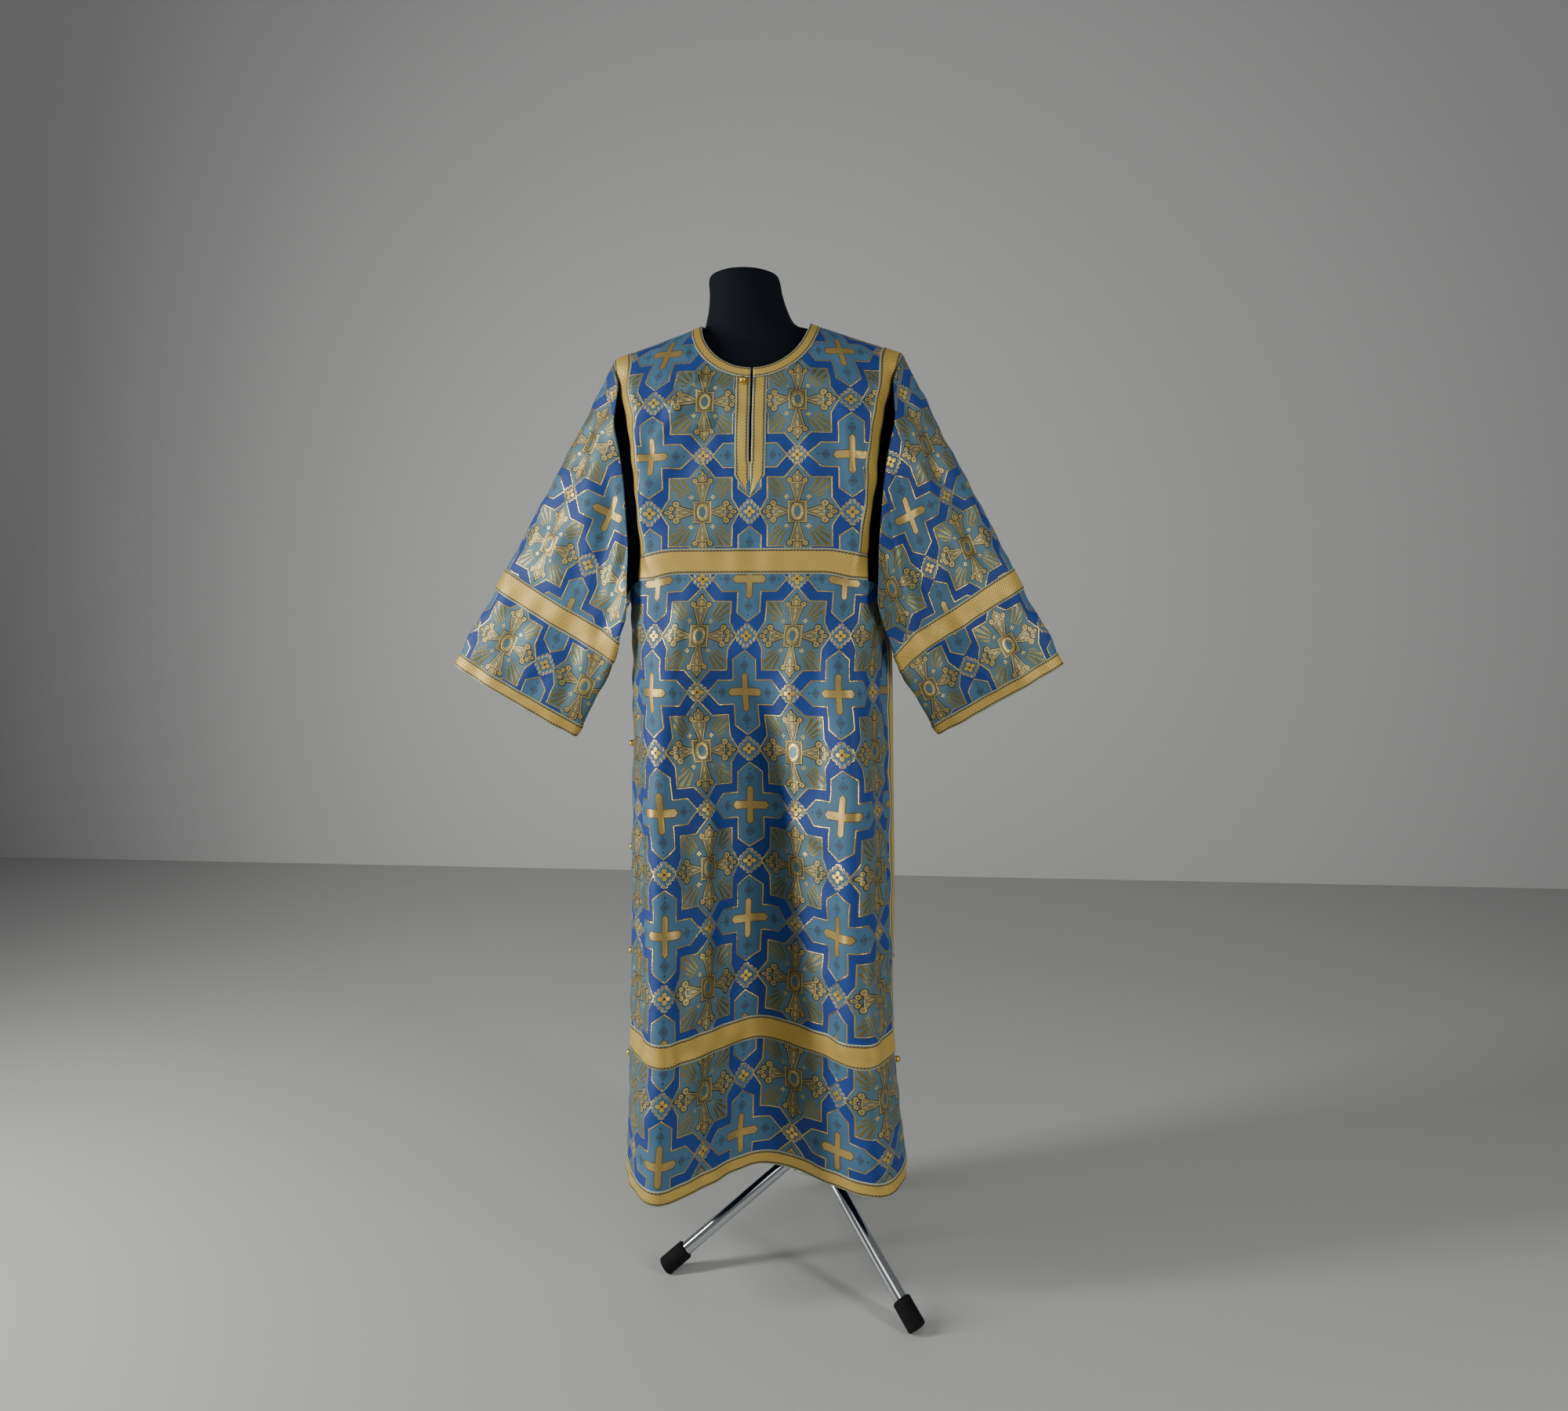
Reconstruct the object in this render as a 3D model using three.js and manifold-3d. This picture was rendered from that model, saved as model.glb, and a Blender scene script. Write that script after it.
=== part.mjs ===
import * as THREE from "three";
import Module from "manifold-3d";
import { mergeVertices } from "three/addons/utils/BufferGeometryUtils.js";

// A sticharion on a limbless dress form with a tripod stand. Millimetres, +Z up, front towards -Y.
// The cloth pieces are thin walls over grids of points, and each galloon is made from the points of the
// panel that it is sewn to, moved out along the panel's normals.

const CLOTH = 2; // brocade with its backing
const GALLOON = 1.2; // woven gold braid
const SEAM = 0.3; // kept between neighbouring pieces

const SHOULDER_Z = 1476; // shoulder line where the neck galloon ends
const SHOULDER_DROP = 46; // from there to the shoulder's end
const NECK_OUTER = 100; // half width of the neck opening outside its galloon
const NECK_INNER = 84; // and inside it
const SHOULDER_END = 228; // half width of the shoulders
const NECK_FRONT_Z = { outer: 1380, inner: 1396 };
const NECK_BACK_Z = { outer: 1446, inner: 1462 };
const YOKE = { low: 1083, high: 1122 }; // chest band
const LOWER_BAND = { low: 365, high: 403 };
const HEM = { low: 168, high: 192 };
const ARMHOLE_DIP = 25; // how far the armhole sinks from the chest band to the side seam
const SLIT_HALF = 1.8; // half width of the neck slit
const SLIT_BAND = 22; // width of each slit galloon
const SLIT_POINT_Z = 1204; // tip of the slit galloons
const SLIT_SHOULDER_Z = 1229; // where their outer edges turn in
const STAND_Y = -29.5; // sets the origin under the middle of the whole object

// Rows from the chest band up, as shares of the climb, close together under the shoulder line.
const CLIMB = {
  neck: [0, 0.17, 0.35, 0.498, 0.62, 0.72, 0.8, 0.87, 0.925, 0.965, 1],
  shoulder: [0, 0.17, 0.35, 0.498, 0.63, 0.745, 0.845, 0.92, 0.97, 0.992, 1],
};
const UPPER_ROWS = CLIMB.neck.length - 1;
const SLIT_ROW = 3; // upper row at the bottom of the slit
const LOWER_Z = [HEM.low, HEM.high, 275, LOWER_BAND.low, LOWER_BAND.high, 480, 560, 640, 720, 800, 880, 960,
  1025, YOKE.low];
const YOKE_ROW = LOWER_Z.length - 1;
const SHOULDER_ROW = YOKE_ROW + 1 + UPPER_ROWS;
const NECK_ROW = SHOULDER_ROW + 1;

// Half of a panel's columns, from the centre out: across is the share of the half width at the armhole's
// foot, and top is the half width where the column ends, on the neck curve up to 100 and then on the shoulder.
const COLUMNS = [
  { across: 0.0062, top: 1.8 },
  { across: 0.082, top: 23.8 },
  { across: 0.132, top: 48.5 },
  { across: 0.182, top: 69.5 },
  { across: 0.231, top: 85.7 },
  { across: 0.272, top: 96 },
  { across: 0.302, top: 99.2 },
  { across: 0.335, top: 100 },
  { across: 0.381, top: 124 },
  { across: 0.431, top: 149 },
  { across: 0.48, top: 173 },
  { across: 0.53, top: 198 },
  { across: 0.64, top: 228 },
  { across: 0.735 },
  { across: 0.83 },
  { across: 0.925 },
  { across: 1 },
];
const CORNER = 7; // column where the neck meets the shoulder
const ARMHOLE = 12; // column of the armhole's edge
const SIDE = COLUMNS.length - 1;

// The chest of the garment: half width, depths in front and behind, and how square the section is.
const CHEST = [
  { z: 1085, width: 200, front: 124, back: 112, square: 3.4 },
  { z: 1121, width: 202, front: 125, back: 113, square: 3.3 },
  { z: 1220, width: 216, front: 124, back: 114, square: 3 },
  { z: 1317, width: 235, front: 113, back: 110, square: 3 },
  { z: 1389, width: 240, front: 96, back: 98, square: 2.8 },
  { z: 1430, width: 228, front: 80, back: 84, square: 2.5 },
  { z: 1476, width: 100, front: 61, back: 61, square: 2.2 },
];

// Half width of the panel at its armhole edge.
const ARMHOLE_EDGE = [
  { z: 1122, x: 172 },
  { z: 1220, x: 183 },
  { z: 1317, x: 195 },
  { z: 1389, x: 214 },
  { z: 1430, x: 228 },
];

// The skirt hangs in two soft folds before and two behind: where each ridge and hollow lies at four levels.
const SKIRT = [
  { z: 168, sideLx: -208, sideLy: -8, ridgeLx: -132, ridgeLy: -173, midx: 13, midy: -37, ridgeRx: 187,
    ridgeRy: -124, sideRx: 228, sideRy: -2, backRx: 118, backRy: 150, backx: -3, backy: 45, backLx: -138,
    backLy: 142 },
  { z: 400, sideLx: -200, sideLy: -7, ridgeLx: -127, ridgeLy: -174, midx: 8, midy: -46, ridgeRx: 172,
    ridgeRy: -150, sideRx: 207, sideRy: 0, backRx: 118, backRy: 136, backx: -4, backy: 56, backLx: -133,
    backLy: 128 },
  { z: 739, sideLx: -198, sideLy: -5, ridgeLx: -134, ridgeLy: -150, midx: -4, midy: -56, ridgeRx: 155,
    ridgeRy: -153, sideRx: 200, sideRy: 0, backRx: 122, backRy: 118, backx: 0, backy: 80, backLx: -128,
    backLy: 116 },
  { z: 960, sideLx: -198, sideLy: -3, ridgeLx: -138, ridgeLy: -130, midx: -4, midy: -112, ridgeRx: 146,
    ridgeRy: -132, sideRx: 199, sideRy: 0, backRx: 125, backRy: 104, backx: 0, backy: 104, backLx: -125,
    backLy: 104 },
];
const SKIRT_POINTS = ["sideL", "ridgeL", "mid", "ridgeR", "sideR", "backR", "back", "backL"];
const CHEST_FADE = 180; // height over which the chest's section turns into the skirt's

// The dress form: its sections, leaning a little towards the stand's hub below.
const FORM = [
  { z: 860, width: 140, front: 58, back: 66, square: 2.2, x: 32, y: 0 },
  { z: 868, width: 152, front: 68, back: 76, square: 2.2, x: 31, y: 0 },
  { z: 930, width: 158, front: 82, back: 86, square: 2.2, x: 25, y: 0 },
  { z: 1000, width: 168, front: 98, back: 94, square: 2.3, x: 18, y: 0 },
  { z: 1085, width: 191, front: 112, back: 102, square: 2.4, x: 8, y: 0 },
  { z: 1150, width: 196, front: 117, back: 106, square: 2.4, x: 3, y: 0 },
  { z: 1220, width: 201, front: 118, back: 108, square: 2.4, x: 0, y: 0 },
  { z: 1317, width: 206, front: 108, back: 105, square: 2.4, x: 0, y: 0 },
  { z: 1370, width: 214, front: 97, back: 99, square: 2.4, x: 0, y: 0 },
  { z: 1400, width: 218, front: 86, back: 89, square: 2.2, x: 0, y: 0 },
  { z: 1420, width: 217, front: 75, back: 78, square: 2.1, x: 0, y: 0 },
  { z: 1433, width: 215, front: 66, back: 69, square: 2, x: 0, y: 0 },
  { z: 1446, width: 179, front: 62, back: 64, square: 2, x: 0, y: 0 },
  { z: 1460, width: 135, front: 46, back: 47, square: 2, x: 0, y: 0 },
  { z: 1474, width: 90, front: 36, back: 37, square: 2, x: 0, y: 0 },
  { z: 1480, width: 68, front: 42, back: 42, square: 2, x: -11, y: -6 },
  { z: 1490, width: 65, front: 50, back: 52, square: 2, x: -13.5, y: -10 },
  { z: 1507, width: 62, front: 53, back: 54, square: 2, x: -16, y: -14 },
  { z: 1530, width: 57.5, front: 53, back: 53, square: 2, x: -18.5, y: -18 },
  { z: 1548, width: 56, front: 53, back: 53, square: 2, x: -20.5, y: -21 },
  { z: 1555, width: 53, front: 50, back: 50, square: 2, x: -21, y: -22 },
  { z: 1558, width: 46, front: 44, back: 44, square: 2, x: -21.3, y: -22.5 },
];
const FORM_SIDES = 36;

// The sleeve's free edge below the shoulder: how far it stands out from the panel's armhole edge.
const SLEEVE_GAP = [
  { z: 1122, gap: 17 },
  { z: 1220, gap: 13 },
  { z: 1280, gap: 16 },
  { z: 1325, gap: 19 },
  { z: 1353, gap: 9 },
  { z: 1376, gap: SEAM },
  { z: 1430, gap: SEAM },
];
// The rest of the sleeve's free edge, from the front round under the arm and up behind.
const UNDERARM = [
  { x: 190, y: -104, z: 1078 },
  { x: 190, y: -104, z: 1036 },
  { x: 204, y: -62, z: 1046 },
  { x: 209, y: -10, z: 1072 },
  { x: 210, y: 40, z: 1100 },
];
const UNDERARM_POINT = 1; // the row of UNDERARM where the lower fold starts
const CUFF = { outerX: 484, outerZ: 945, lowerX: 288, lowerZ: 833, halfDepth: 20, swing: 42 };
const CUFF_RINGS = [0, 23, 80, 137, 175]; // distances from the cuff's edge: its galloon, and the sleeve band
const UPPER_RINGS = 4;
const SLEEVE_SAG = 12; // how far the lower fold bows towards the body

const BUTTON = { radius: 5.5, shank: 2, segments: 8 };
const SIDE_BUTTON_Z = [327, 490, 655, 820];
const NECK_BUTTON = { x: -12, z: 1372 };

const HUB = { x: 84, y: 4, z: 175, radius: 34, height: 56 };
const LEG = { radius: 10, reach: 227, start: 22, footZ: 12 };
const LEG_TURNS = [-46.2, -166.2, 73.8]; // degrees round the hub
const POLE = { radius: 12.5, topX: 32, topZ: 900 };
const FOOT = { radius: 14, length: 42, wall: 3.5 };

const brocade = new THREE.MeshStandardMaterial({ color: 0x4a78a8, roughness: 0.55, metalness: 0.15 });
const braid = new THREE.MeshStandardMaterial({ color: 0xd9b85c, roughness: 0.4, metalness: 0.5 });
const brass = new THREE.MeshStandardMaterial({ color: 0xd8b04a, roughness: 0.25, metalness: 0.9 });
const blackForm = new THREE.MeshStandardMaterial({ color: 0x0a0e16, roughness: 0.6, metalness: 0 });
const chrome = new THREE.MeshStandardMaterial({ color: 0xc8ccd0, roughness: 0.15, metalness: 1 });
const rubber = new THREE.MeshStandardMaterial({ color: 0x15171a, roughness: 0.8, metalness: 0 });

const wasm = await Module();
wasm.setup();

const part = new THREE.Group();
part.position.y = STAND_Y;

function addMesh(name, geometry, material) {
  const mesh = new THREE.Mesh(geometry, material);
  mesh.name = name;
  part.add(mesh);
  return mesh;
}

const clamp01 = (t) => Math.min(Math.max(t, 0), 1);
const easeInOut = (t) => clamp01(t) ** 2 * (3 - 2 * clamp01(t));
const range = (from, to) =>
  Array.from({ length: Math.abs(to - from) + 1 }, (_, i) => from + Math.sign(to - from) * i);

// One named column of a table at height z, by a smooth curve through the rows, which run upwards.
function readTable(table, column, z) {
  const last = table.length - 1;
  if (z <= table[0].z) return table[0][column];
  if (z >= table[last].z) return table[last][column];
  const i = table.findIndex((row, k) => z < table[k + 1].z);
  const slope = (k) => {
    const below = table[Math.max(k - 1, 0)];
    const above = table[Math.min(k + 1, last)];
    return (above[column] - below[column]) / (above.z - below.z);
  };
  const step = table[i + 1].z - table[i].z;
  const t = (z - table[i].z) / step;
  const rise = t * t * (3 - 2 * t);
  const bend = (t ** 3 - 2 * t * t + t) * step * slope(i) + (t ** 3 - t * t) * step * slope(i + 1);
  return table[i][column] * (1 - rise) + table[i + 1][column] * rise + bend;
}

// The point at a share of the way along an open line of points.
function alongLine(line, share) {
  const reach = [0];
  for (let i = 1; i < line.length; i++) reach.push(reach[i - 1] + line[i].distanceTo(line[i - 1]));
  const wanted = clamp01(share) * reach.at(-1);
  const i = Math.max(reach.findIndex((r) => r >= wanted), 1);
  return line[i - 1].clone().lerp(line[i], (wanted - reach[i - 1]) / (reach[i] - reach[i - 1]));
}

const shoulderZ = (x) => SHOULDER_Z - ((x - NECK_OUTER) * SHOULDER_DROP) / (SHOULDER_END - NECK_OUTER);
const ridgeWidth = (z) =>
  NECK_OUTER + ((SHOULDER_Z - z) * (SHOULDER_END - NECK_OUTER)) / SHOULDER_DROP;

function chestWidth(z) {
  return z > SHOULDER_Z - SHOULDER_DROP ? ridgeWidth(z) : readTable(CHEST, "width", z);
}

// Depth of the chest before or behind the shoulder line, at a distance x from the middle.
function chestDepth(face, x, z) {
  const square = readTable(CHEST, "square", z);
  const share = Math.max(1 - Math.abs(x / chestWidth(z)) ** square, 0);
  return readTable(CHEST, face, z) * share ** (1 / square);
}

// The level line round one half of the garment at height z, from the left side seam to the right one.
const CHEST_STEPS = 48;
function chestLine(face, z) {
  const sign = face === "front" ? -1 : 1;
  const square = readTable(CHEST, "square", z);
  return Array.from({ length: CHEST_STEPS + 1 }, (_, i) => {
    const turn = (Math.PI * i) / CHEST_STEPS;
    const x = -Math.sign(Math.cos(turn)) * chestWidth(z) * Math.abs(Math.cos(turn)) ** (2 / square);
    const y = sign * readTable(CHEST, face, z) * Math.sin(turn) ** (2 / square);
    return new THREE.Vector3(x, y, z);
  });
}

function skirtLine(face, z) {
  const corners = SKIRT_POINTS.map(
    (key) => new THREE.Vector3(readTable(SKIRT, key + "x", z), readTable(SKIRT, key + "y", z), z),
  );
  const ring = new THREE.CatmullRomCurve3(corners, true, "catmullrom", 0.5);
  const start = face === "front" ? 0 : 0.5;
  const line = range(0, CHEST_STEPS).map((i) => ring.getPoint(start + (0.5 * i) / CHEST_STEPS));
  return face === "front" ? line : line.reverse();
}

// A point of the garment below the armholes: across runs from -1 at the left side seam to 1 at the right.
function lowerPoint(face, across, z) {
  const share = (across + 1) / 2;
  const chest = alongLine(chestLine(face, Math.max(z, CHEST[0].z)), share);
  chest.z = z;
  const skirt = alongLine(skirtLine(face, z), share);
  return chest.lerp(skirt, easeInOut((CHEST[0].z - z) / CHEST_FADE));
}

// A point of the garment above the chest band. climb runs from 0 at the band to 1 at the neck or shoulder.
function upperPoint(face, column, side, climb) {
  const sign = face === "front" ? -1 : 1;
  const neckZ = face === "front" ? NECK_FRONT_Z : NECK_BACK_Z;
  const top = COLUMNS[column].top;
  const foot = Math.abs(lowerPoint(face, COLUMNS[column].across * side, CHEST[0].z).x);
  const level = Math.sqrt(Math.max(1 - (top / NECK_OUTER) ** 2, 0));
  const topZ = column < CORNER ? SHOULDER_Z - (SHOULDER_Z - neckZ.outer) * level : shoulderZ(top);
  const z = YOKE.high + (topZ - YOKE.high) * climb;
  const edgeZ = YOKE.high + (ARMHOLE_EDGE.at(-1).z - YOKE.high) * climb;
  const spread = (readTable(ARMHOLE_EDGE, "x", edgeZ) - ARMHOLE_EDGE[0].x) / (SHOULDER_END - ARMHOLE_EDGE[0].x);
  const x = foot + (top - foot) * spread;
  return new THREE.Vector3(side * x, sign * (chestDepth(face, x, z) + SEAM / 2), z);
}

function neckPoint(face, column, side) {
  const sign = face === "front" ? -1 : 1;
  const neckZ = face === "front" ? NECK_FRONT_Z : NECK_BACK_Z;
  const turn = COLUMNS[column].top / NECK_OUTER;
  const x = NECK_INNER * turn;
  const topZ = shoulderZ(NECK_INNER);
  const z = topZ - (topZ - neckZ.inner) * Math.sqrt(Math.max(1 - turn * turn, 0));
  return new THREE.Vector3(side * x, sign * (chestDepth(face, x, z) + SEAM / 2), z);
}

// Normals of a grid, lengthened at a fold so that a wall keeps its thickness there.
const MOST_MITRE = 2.4;
function gridNormals(points, closed) {
  const rows = points.length;
  const columns = points[0].length;
  const faces = points.slice(1).map((row, i) =>
    row.slice(1).map((_, j) =>
      new THREE.Vector3()
        .subVectors(points[i + 1][j + 1], points[i][j])
        .cross(new THREE.Vector3().subVectors(points[i + 1][j], points[i][j + 1]))
        .normalize(),
    ),
  );
  const wrap = (j) => (closed ? (j + columns - 1) % (columns - 1) : j);
  return points.map((row, i) =>
    row.map((_, j) => {
      const near = [[i - 1, j - 1], [i - 1, j], [i, j - 1], [i, j]]
        .map(([a, b]) => faces[a]?.[wrap(b)])
        .filter(Boolean);
      const mean = near.reduce((sum, face) => sum.add(face), new THREE.Vector3()).normalize();
      const least = Math.min(...near.map((face) => face.dot(mean)));
      return mean.multiplyScalar(Math.min(1 / Math.max(least, 0.1), MOST_MITRE));
    }),
  );
}

// A wall between two distances from a grid of points. The outside is where the normals point, columns run
// to the right and rows run up, and keep says which cells the wall has.
function wallGeometry({ points, normals, closed }, near, far, keep = () => true) {
  const rows = points.length;
  const columns = points[0].length;
  const position = [];
  for (const offset of [far, near]) {
    points.forEach((row, i) =>
      row.forEach((point, j) => {
        position.push(...point.clone().addScaledVector(normals[i][j], offset).toArray());
      }),
    );
  }
  const at = (face, i, j) => (face * rows + i) * columns + j;
  const kept = (i, j) => i >= 0 && j >= 0 && i < rows - 1 && j < columns - 1 && keep(i, j);
  const index = [];
  const quad = (a, b, c, d) => index.push(a, b, c, a, c, d);
  for (let i = 0; i < rows - 1; i++) {
    for (let j = 0; j < columns - 1; j++) {
      if (!kept(i, j)) continue;
      quad(at(0, i, j), at(0, i, j + 1), at(0, i + 1, j + 1), at(0, i + 1, j));
      quad(at(1, i, j), at(1, i + 1, j), at(1, i + 1, j + 1), at(1, i, j + 1));
      if (!kept(i - 1, j)) quad(at(1, i, j), at(1, i, j + 1), at(0, i, j + 1), at(0, i, j));
      if (!kept(i + 1, j)) quad(at(0, i + 1, j), at(0, i + 1, j + 1), at(1, i + 1, j + 1), at(1, i + 1, j));
      if (!closed && !kept(i, j - 1)) quad(at(0, i, j), at(0, i + 1, j), at(1, i + 1, j), at(1, i, j));
      if (!closed && !kept(i, j + 1)) {
        quad(at(0, i, j + 1), at(1, i, j + 1), at(1, i + 1, j + 1), at(0, i + 1, j + 1));
      }
    }
  }
  const geometry = new THREE.BufferGeometry();
  geometry.setAttribute("position", new THREE.Float32BufferAttribute(position, 3));
  geometry.setIndex(index);
  geometry.computeVertexNormals();
  return geometry;
}

const drawIn = (point, towards) => point.lerp(towards, SEAM / point.distanceTo(towards));

// The part of a panel at some of its rows and columns, drawn in a little at its ends.
function takeFrom(panel, rows, columns) {
  const points = rows.map((i) => columns.map((j) => panel.points[i][j].clone()));
  const normals = rows.map((i) => columns.map((j) => panel.normals[i][j].clone()));
  points[0].forEach((point, j) => drawIn(point, points[1][j]));
  points.at(-1).forEach((point, j) => drawIn(point, points.at(-2)[j]));
  if (!panel.closed) {
    points.forEach((row) => {
      drawIn(row[0], row[1]);
      drawIn(row.at(-1), row.at(-2));
    });
  }
  return { points, normals, closed: panel.closed };
}

function addGalloon(name, strip, lift = SEAM) {
  addMesh(name, wallGeometry(strip, CLOTH / 2 + lift, CLOTH / 2 + lift + GALLOON), braid);
}

// Columns of a panel run from its left side seam to its right one, and the other way behind, so that a
// panel's outside always faces out. columnOf gives the place of a column counted from the middle.
function columnOf(face, side, column) {
  const toRight = side > 0 === (face === "front");
  return toRight ? SIDE + 1 + column : SIDE - column;
}

function panelGrid(face) {
  const order = range(SIDE, 0).map((column) => [column, face === "front" ? -1 : 1])
    .concat(range(0, SIDE).map((column) => [column, face === "front" ? 1 : -1]));
  const points = LOWER_Z.map((z, i) =>
    order.map(([column, side]) => {
      const across = COLUMNS[column].across;
      const past = (across - COLUMNS[ARMHOLE].across) / (1 - COLUMNS[ARMHOLE].across);
      const dip = i === YOKE_ROW ? ARMHOLE_DIP * clamp01(past) : 0;
      return lowerPoint(face, across * side, z - dip);
    }),
  );
  for (const row of range(0, UPPER_ROWS)) {
    points.push(order.map(([column, side]) => {
      const climb = CLIMB[column > CORNER ? "shoulder" : "neck"][row];
      return upperPoint(face, Math.min(column, ARMHOLE), side, climb);
    }));
  }
  points.push(order.map(([column, side]) => neckPoint(face, Math.min(column, CORNER), side)));
  const keep = (i, j) => {
    const column = Math.min(order[j][0], order[j + 1][0]);
    const inSlit = face === "front" && j === SIDE && i >= YOKE_ROW + 1 + SLIT_ROW;
    const widest = i < YOKE_ROW ? SIDE : i < SHOULDER_ROW ? ARMHOLE : CORNER;
    return column < widest && !inSlit;
  };
  return { points, keep };
}

// Normals from the cells that a panel keeps: the rest of its grid is folded onto its edges.
function panelNormals({ points, keep }) {
  const whole = gridNormals(points, false);
  return points.map((row, i) =>
    row.map((_, j) => {
      const near = [[i - 1, j - 1], [i - 1, j], [i, j - 1], [i, j]].filter(
        ([a, b]) => a >= 0 && b >= 0 && a < points.length - 1 && b < row.length - 1 && keep(a, b),
      );
      if (!near.length || near.length === 4) return whole[i][j];
      return near
        .map(([a, b]) =>
          new THREE.Vector3()
            .subVectors(points[a + 1][b + 1], points[a][b])
            .cross(new THREE.Vector3().subVectors(points[a + 1][b], points[a][b + 1]))
            .normalize())
        .reduce((sum, face) => sum.add(face), new THREE.Vector3())
        .normalize();
    }),
  );
}

const panels = {};
for (const face of ["front", "back"]) {
  panels[face] = panelGrid(face);
  panels[face].normals = panelNormals(panels[face]);
  // Both panels stand square to the shoulder line where they meet on it.
  for (const side of [-1, 1]) {
    for (const column of range(CORNER, ARMHOLE)) {
      const normal = panels[face].normals[SHOULDER_ROW][columnOf(face, side, column)];
      normal.set(side * SHOULDER_DROP, 0, SHOULDER_END - NECK_OUTER).normalize();
    }
    panels[face].normals[NECK_ROW][columnOf(face, side, CORNER)]
      .set(side * SHOULDER_DROP, 0, SHOULDER_END - NECK_OUTER).normalize();
  }
}
// Along the side slits the two panels share their normals and stand a seam apart.
for (const side of [-1, 1]) {
  for (const i of range(0, YOKE_ROW)) {
    const front = columnOf("front", side, SIDE);
    const back = columnOf("back", side, SIDE);
    const shared = panels.front.normals[i][front].clone().add(panels.back.normals[i][back]).normalize();
    panels.front.normals[i][front].copy(shared);
    panels.back.normals[i][back].copy(shared);
    for (const face of ["front", "back"]) {
      const row = panels[face].points[i];
      drawIn(row[columnOf(face, side, SIDE)], row[columnOf(face, side, SIDE - 1)]);
    }
  }
}

function buildPanels() {
  for (const face of ["front", "back"]) {
    const panel = panels[face];
    addMesh(face + "_panel", wallGeometry(panel, -CLOTH / 2, CLOTH / 2, panel.keep), brocade);
    const all = range(0, 2 * SIDE + 1);
    addGalloon("hem_galloon_" + face, takeFrom(panel, [0, 1], all));
    const band = LOWER_Z.indexOf(LOWER_BAND.low);
    addGalloon("lower_band_" + face, takeFrom(panel, [band, band + 1], all.slice(1, -1)));
    for (const [name, side] of [["left", -1], ["right", 1]]) {
      const edge = [columnOf(face, side, SIDE), columnOf(face, side, SIDE - 1)].sort((a, b) => a - b);
      addGalloon(`side_galloon_${face}_${name}`, takeFrom(panel, range(1, YOKE_ROW), edge));
    }
  }
  const chest = range(columnOf("front", -1, ARMHOLE), columnOf("front", 1, ARMHOLE));
  addGalloon("yoke_band", takeFrom(panels.front, [YOKE_ROW, YOKE_ROW + 1], chest));
}

// A strip that runs up the front panel, over the shoulder and down the back.
function overShoulder(side, columns) {
  const pick = (face, i) => {
    const places = columns.map((column) => columnOf(face, side, column)).sort((a, b) => a - b);
    const ordered = face === "front" ? places : places.reverse();
    return {
      points: ordered.map((j) => panels[face].points[i][j]),
      normals: ordered.map((j) => panels[face].normals[i][j]),
    };
  };
  const rows = range(YOKE_ROW + 1, SHOULDER_ROW).map((i) => pick("front", i))
    .concat(range(SHOULDER_ROW, YOKE_ROW + 1).map((i) => pick("back", i)));
  const strip = { points: rows.map((row) => row.points), normals: rows.map((row) => row.normals) };
  return takeFrom(strip, range(0, rows.length - 1), range(0, columns.length - 1));
}

function neckStrip() {
  const places = range(0, CORNER).map((column) => ["front", 1, column])
    .concat(range(CORNER, 0).map((column) => ["back", 1, column]))
    .concat(range(0, CORNER).map((column) => ["back", -1, column]))
    .concat(range(CORNER, 0).map((column) => ["front", -1, column]));
  const row = (key, i) =>
    places.map(([face, side, column]) => panels[face][key][i][columnOf(face, side, column)]);
  const strip = {
    points: [row("points", SHOULDER_ROW), row("points", NECK_ROW)],
    normals: [row("normals", SHOULDER_ROW), row("normals", NECK_ROW)],
  };
  return takeFrom(strip, [0, 1], range(0, places.length - 1));
}

function slitStrip(side) {
  const inner = columnOf("front", side, 0);
  const outer = columnOf("front", side, 1);
  const rows = range(YOKE_ROW + 1 + SLIT_ROW, SHOULDER_ROW);
  const points = rows.map((i) => [panels.front.points[i][inner], panels.front.points[i][outer]]);
  const normals = rows.map((i) => [panels.front.normals[i][inner], panels.front.normals[i][outer]]);
  const below = (x, z) => new THREE.Vector3(side * x, -chestDepth("front", x, z) - SEAM, z);
  const tip = [below(SEAM, SLIT_POINT_Z), below(SEAM * 4, SLIT_POINT_Z)];
  const shoulder = [below(SEAM, SLIT_SHOULDER_Z), below(SLIT_BAND + SLIT_HALF, SLIT_SHOULDER_Z)];
  points.unshift(tip, shoulder);
  normals.unshift(normals[0], normals[0]);
  if (side < 0) {
    points.forEach((row, i) => (points[i] = [...row].reverse()));
    normals.forEach((row, i) => (normals[i] = [...row].reverse()));
  }
  return takeFrom({ points, normals }, range(0, points.length - 1), [0, 1]);
}

function buildTrim() {
  for (const [name, side] of [["left", -1], ["right", 1]]) {
    addGalloon("armhole_galloon_" + name, overShoulder(side, [ARMHOLE - 1, ARMHOLE]));
    addGalloon("slit_galloon_" + name, slitStrip(side));
  }
  addGalloon("neck_galloon", neckStrip(), 2 * SEAM); // it bends most, so it lies a little freer
}

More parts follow.
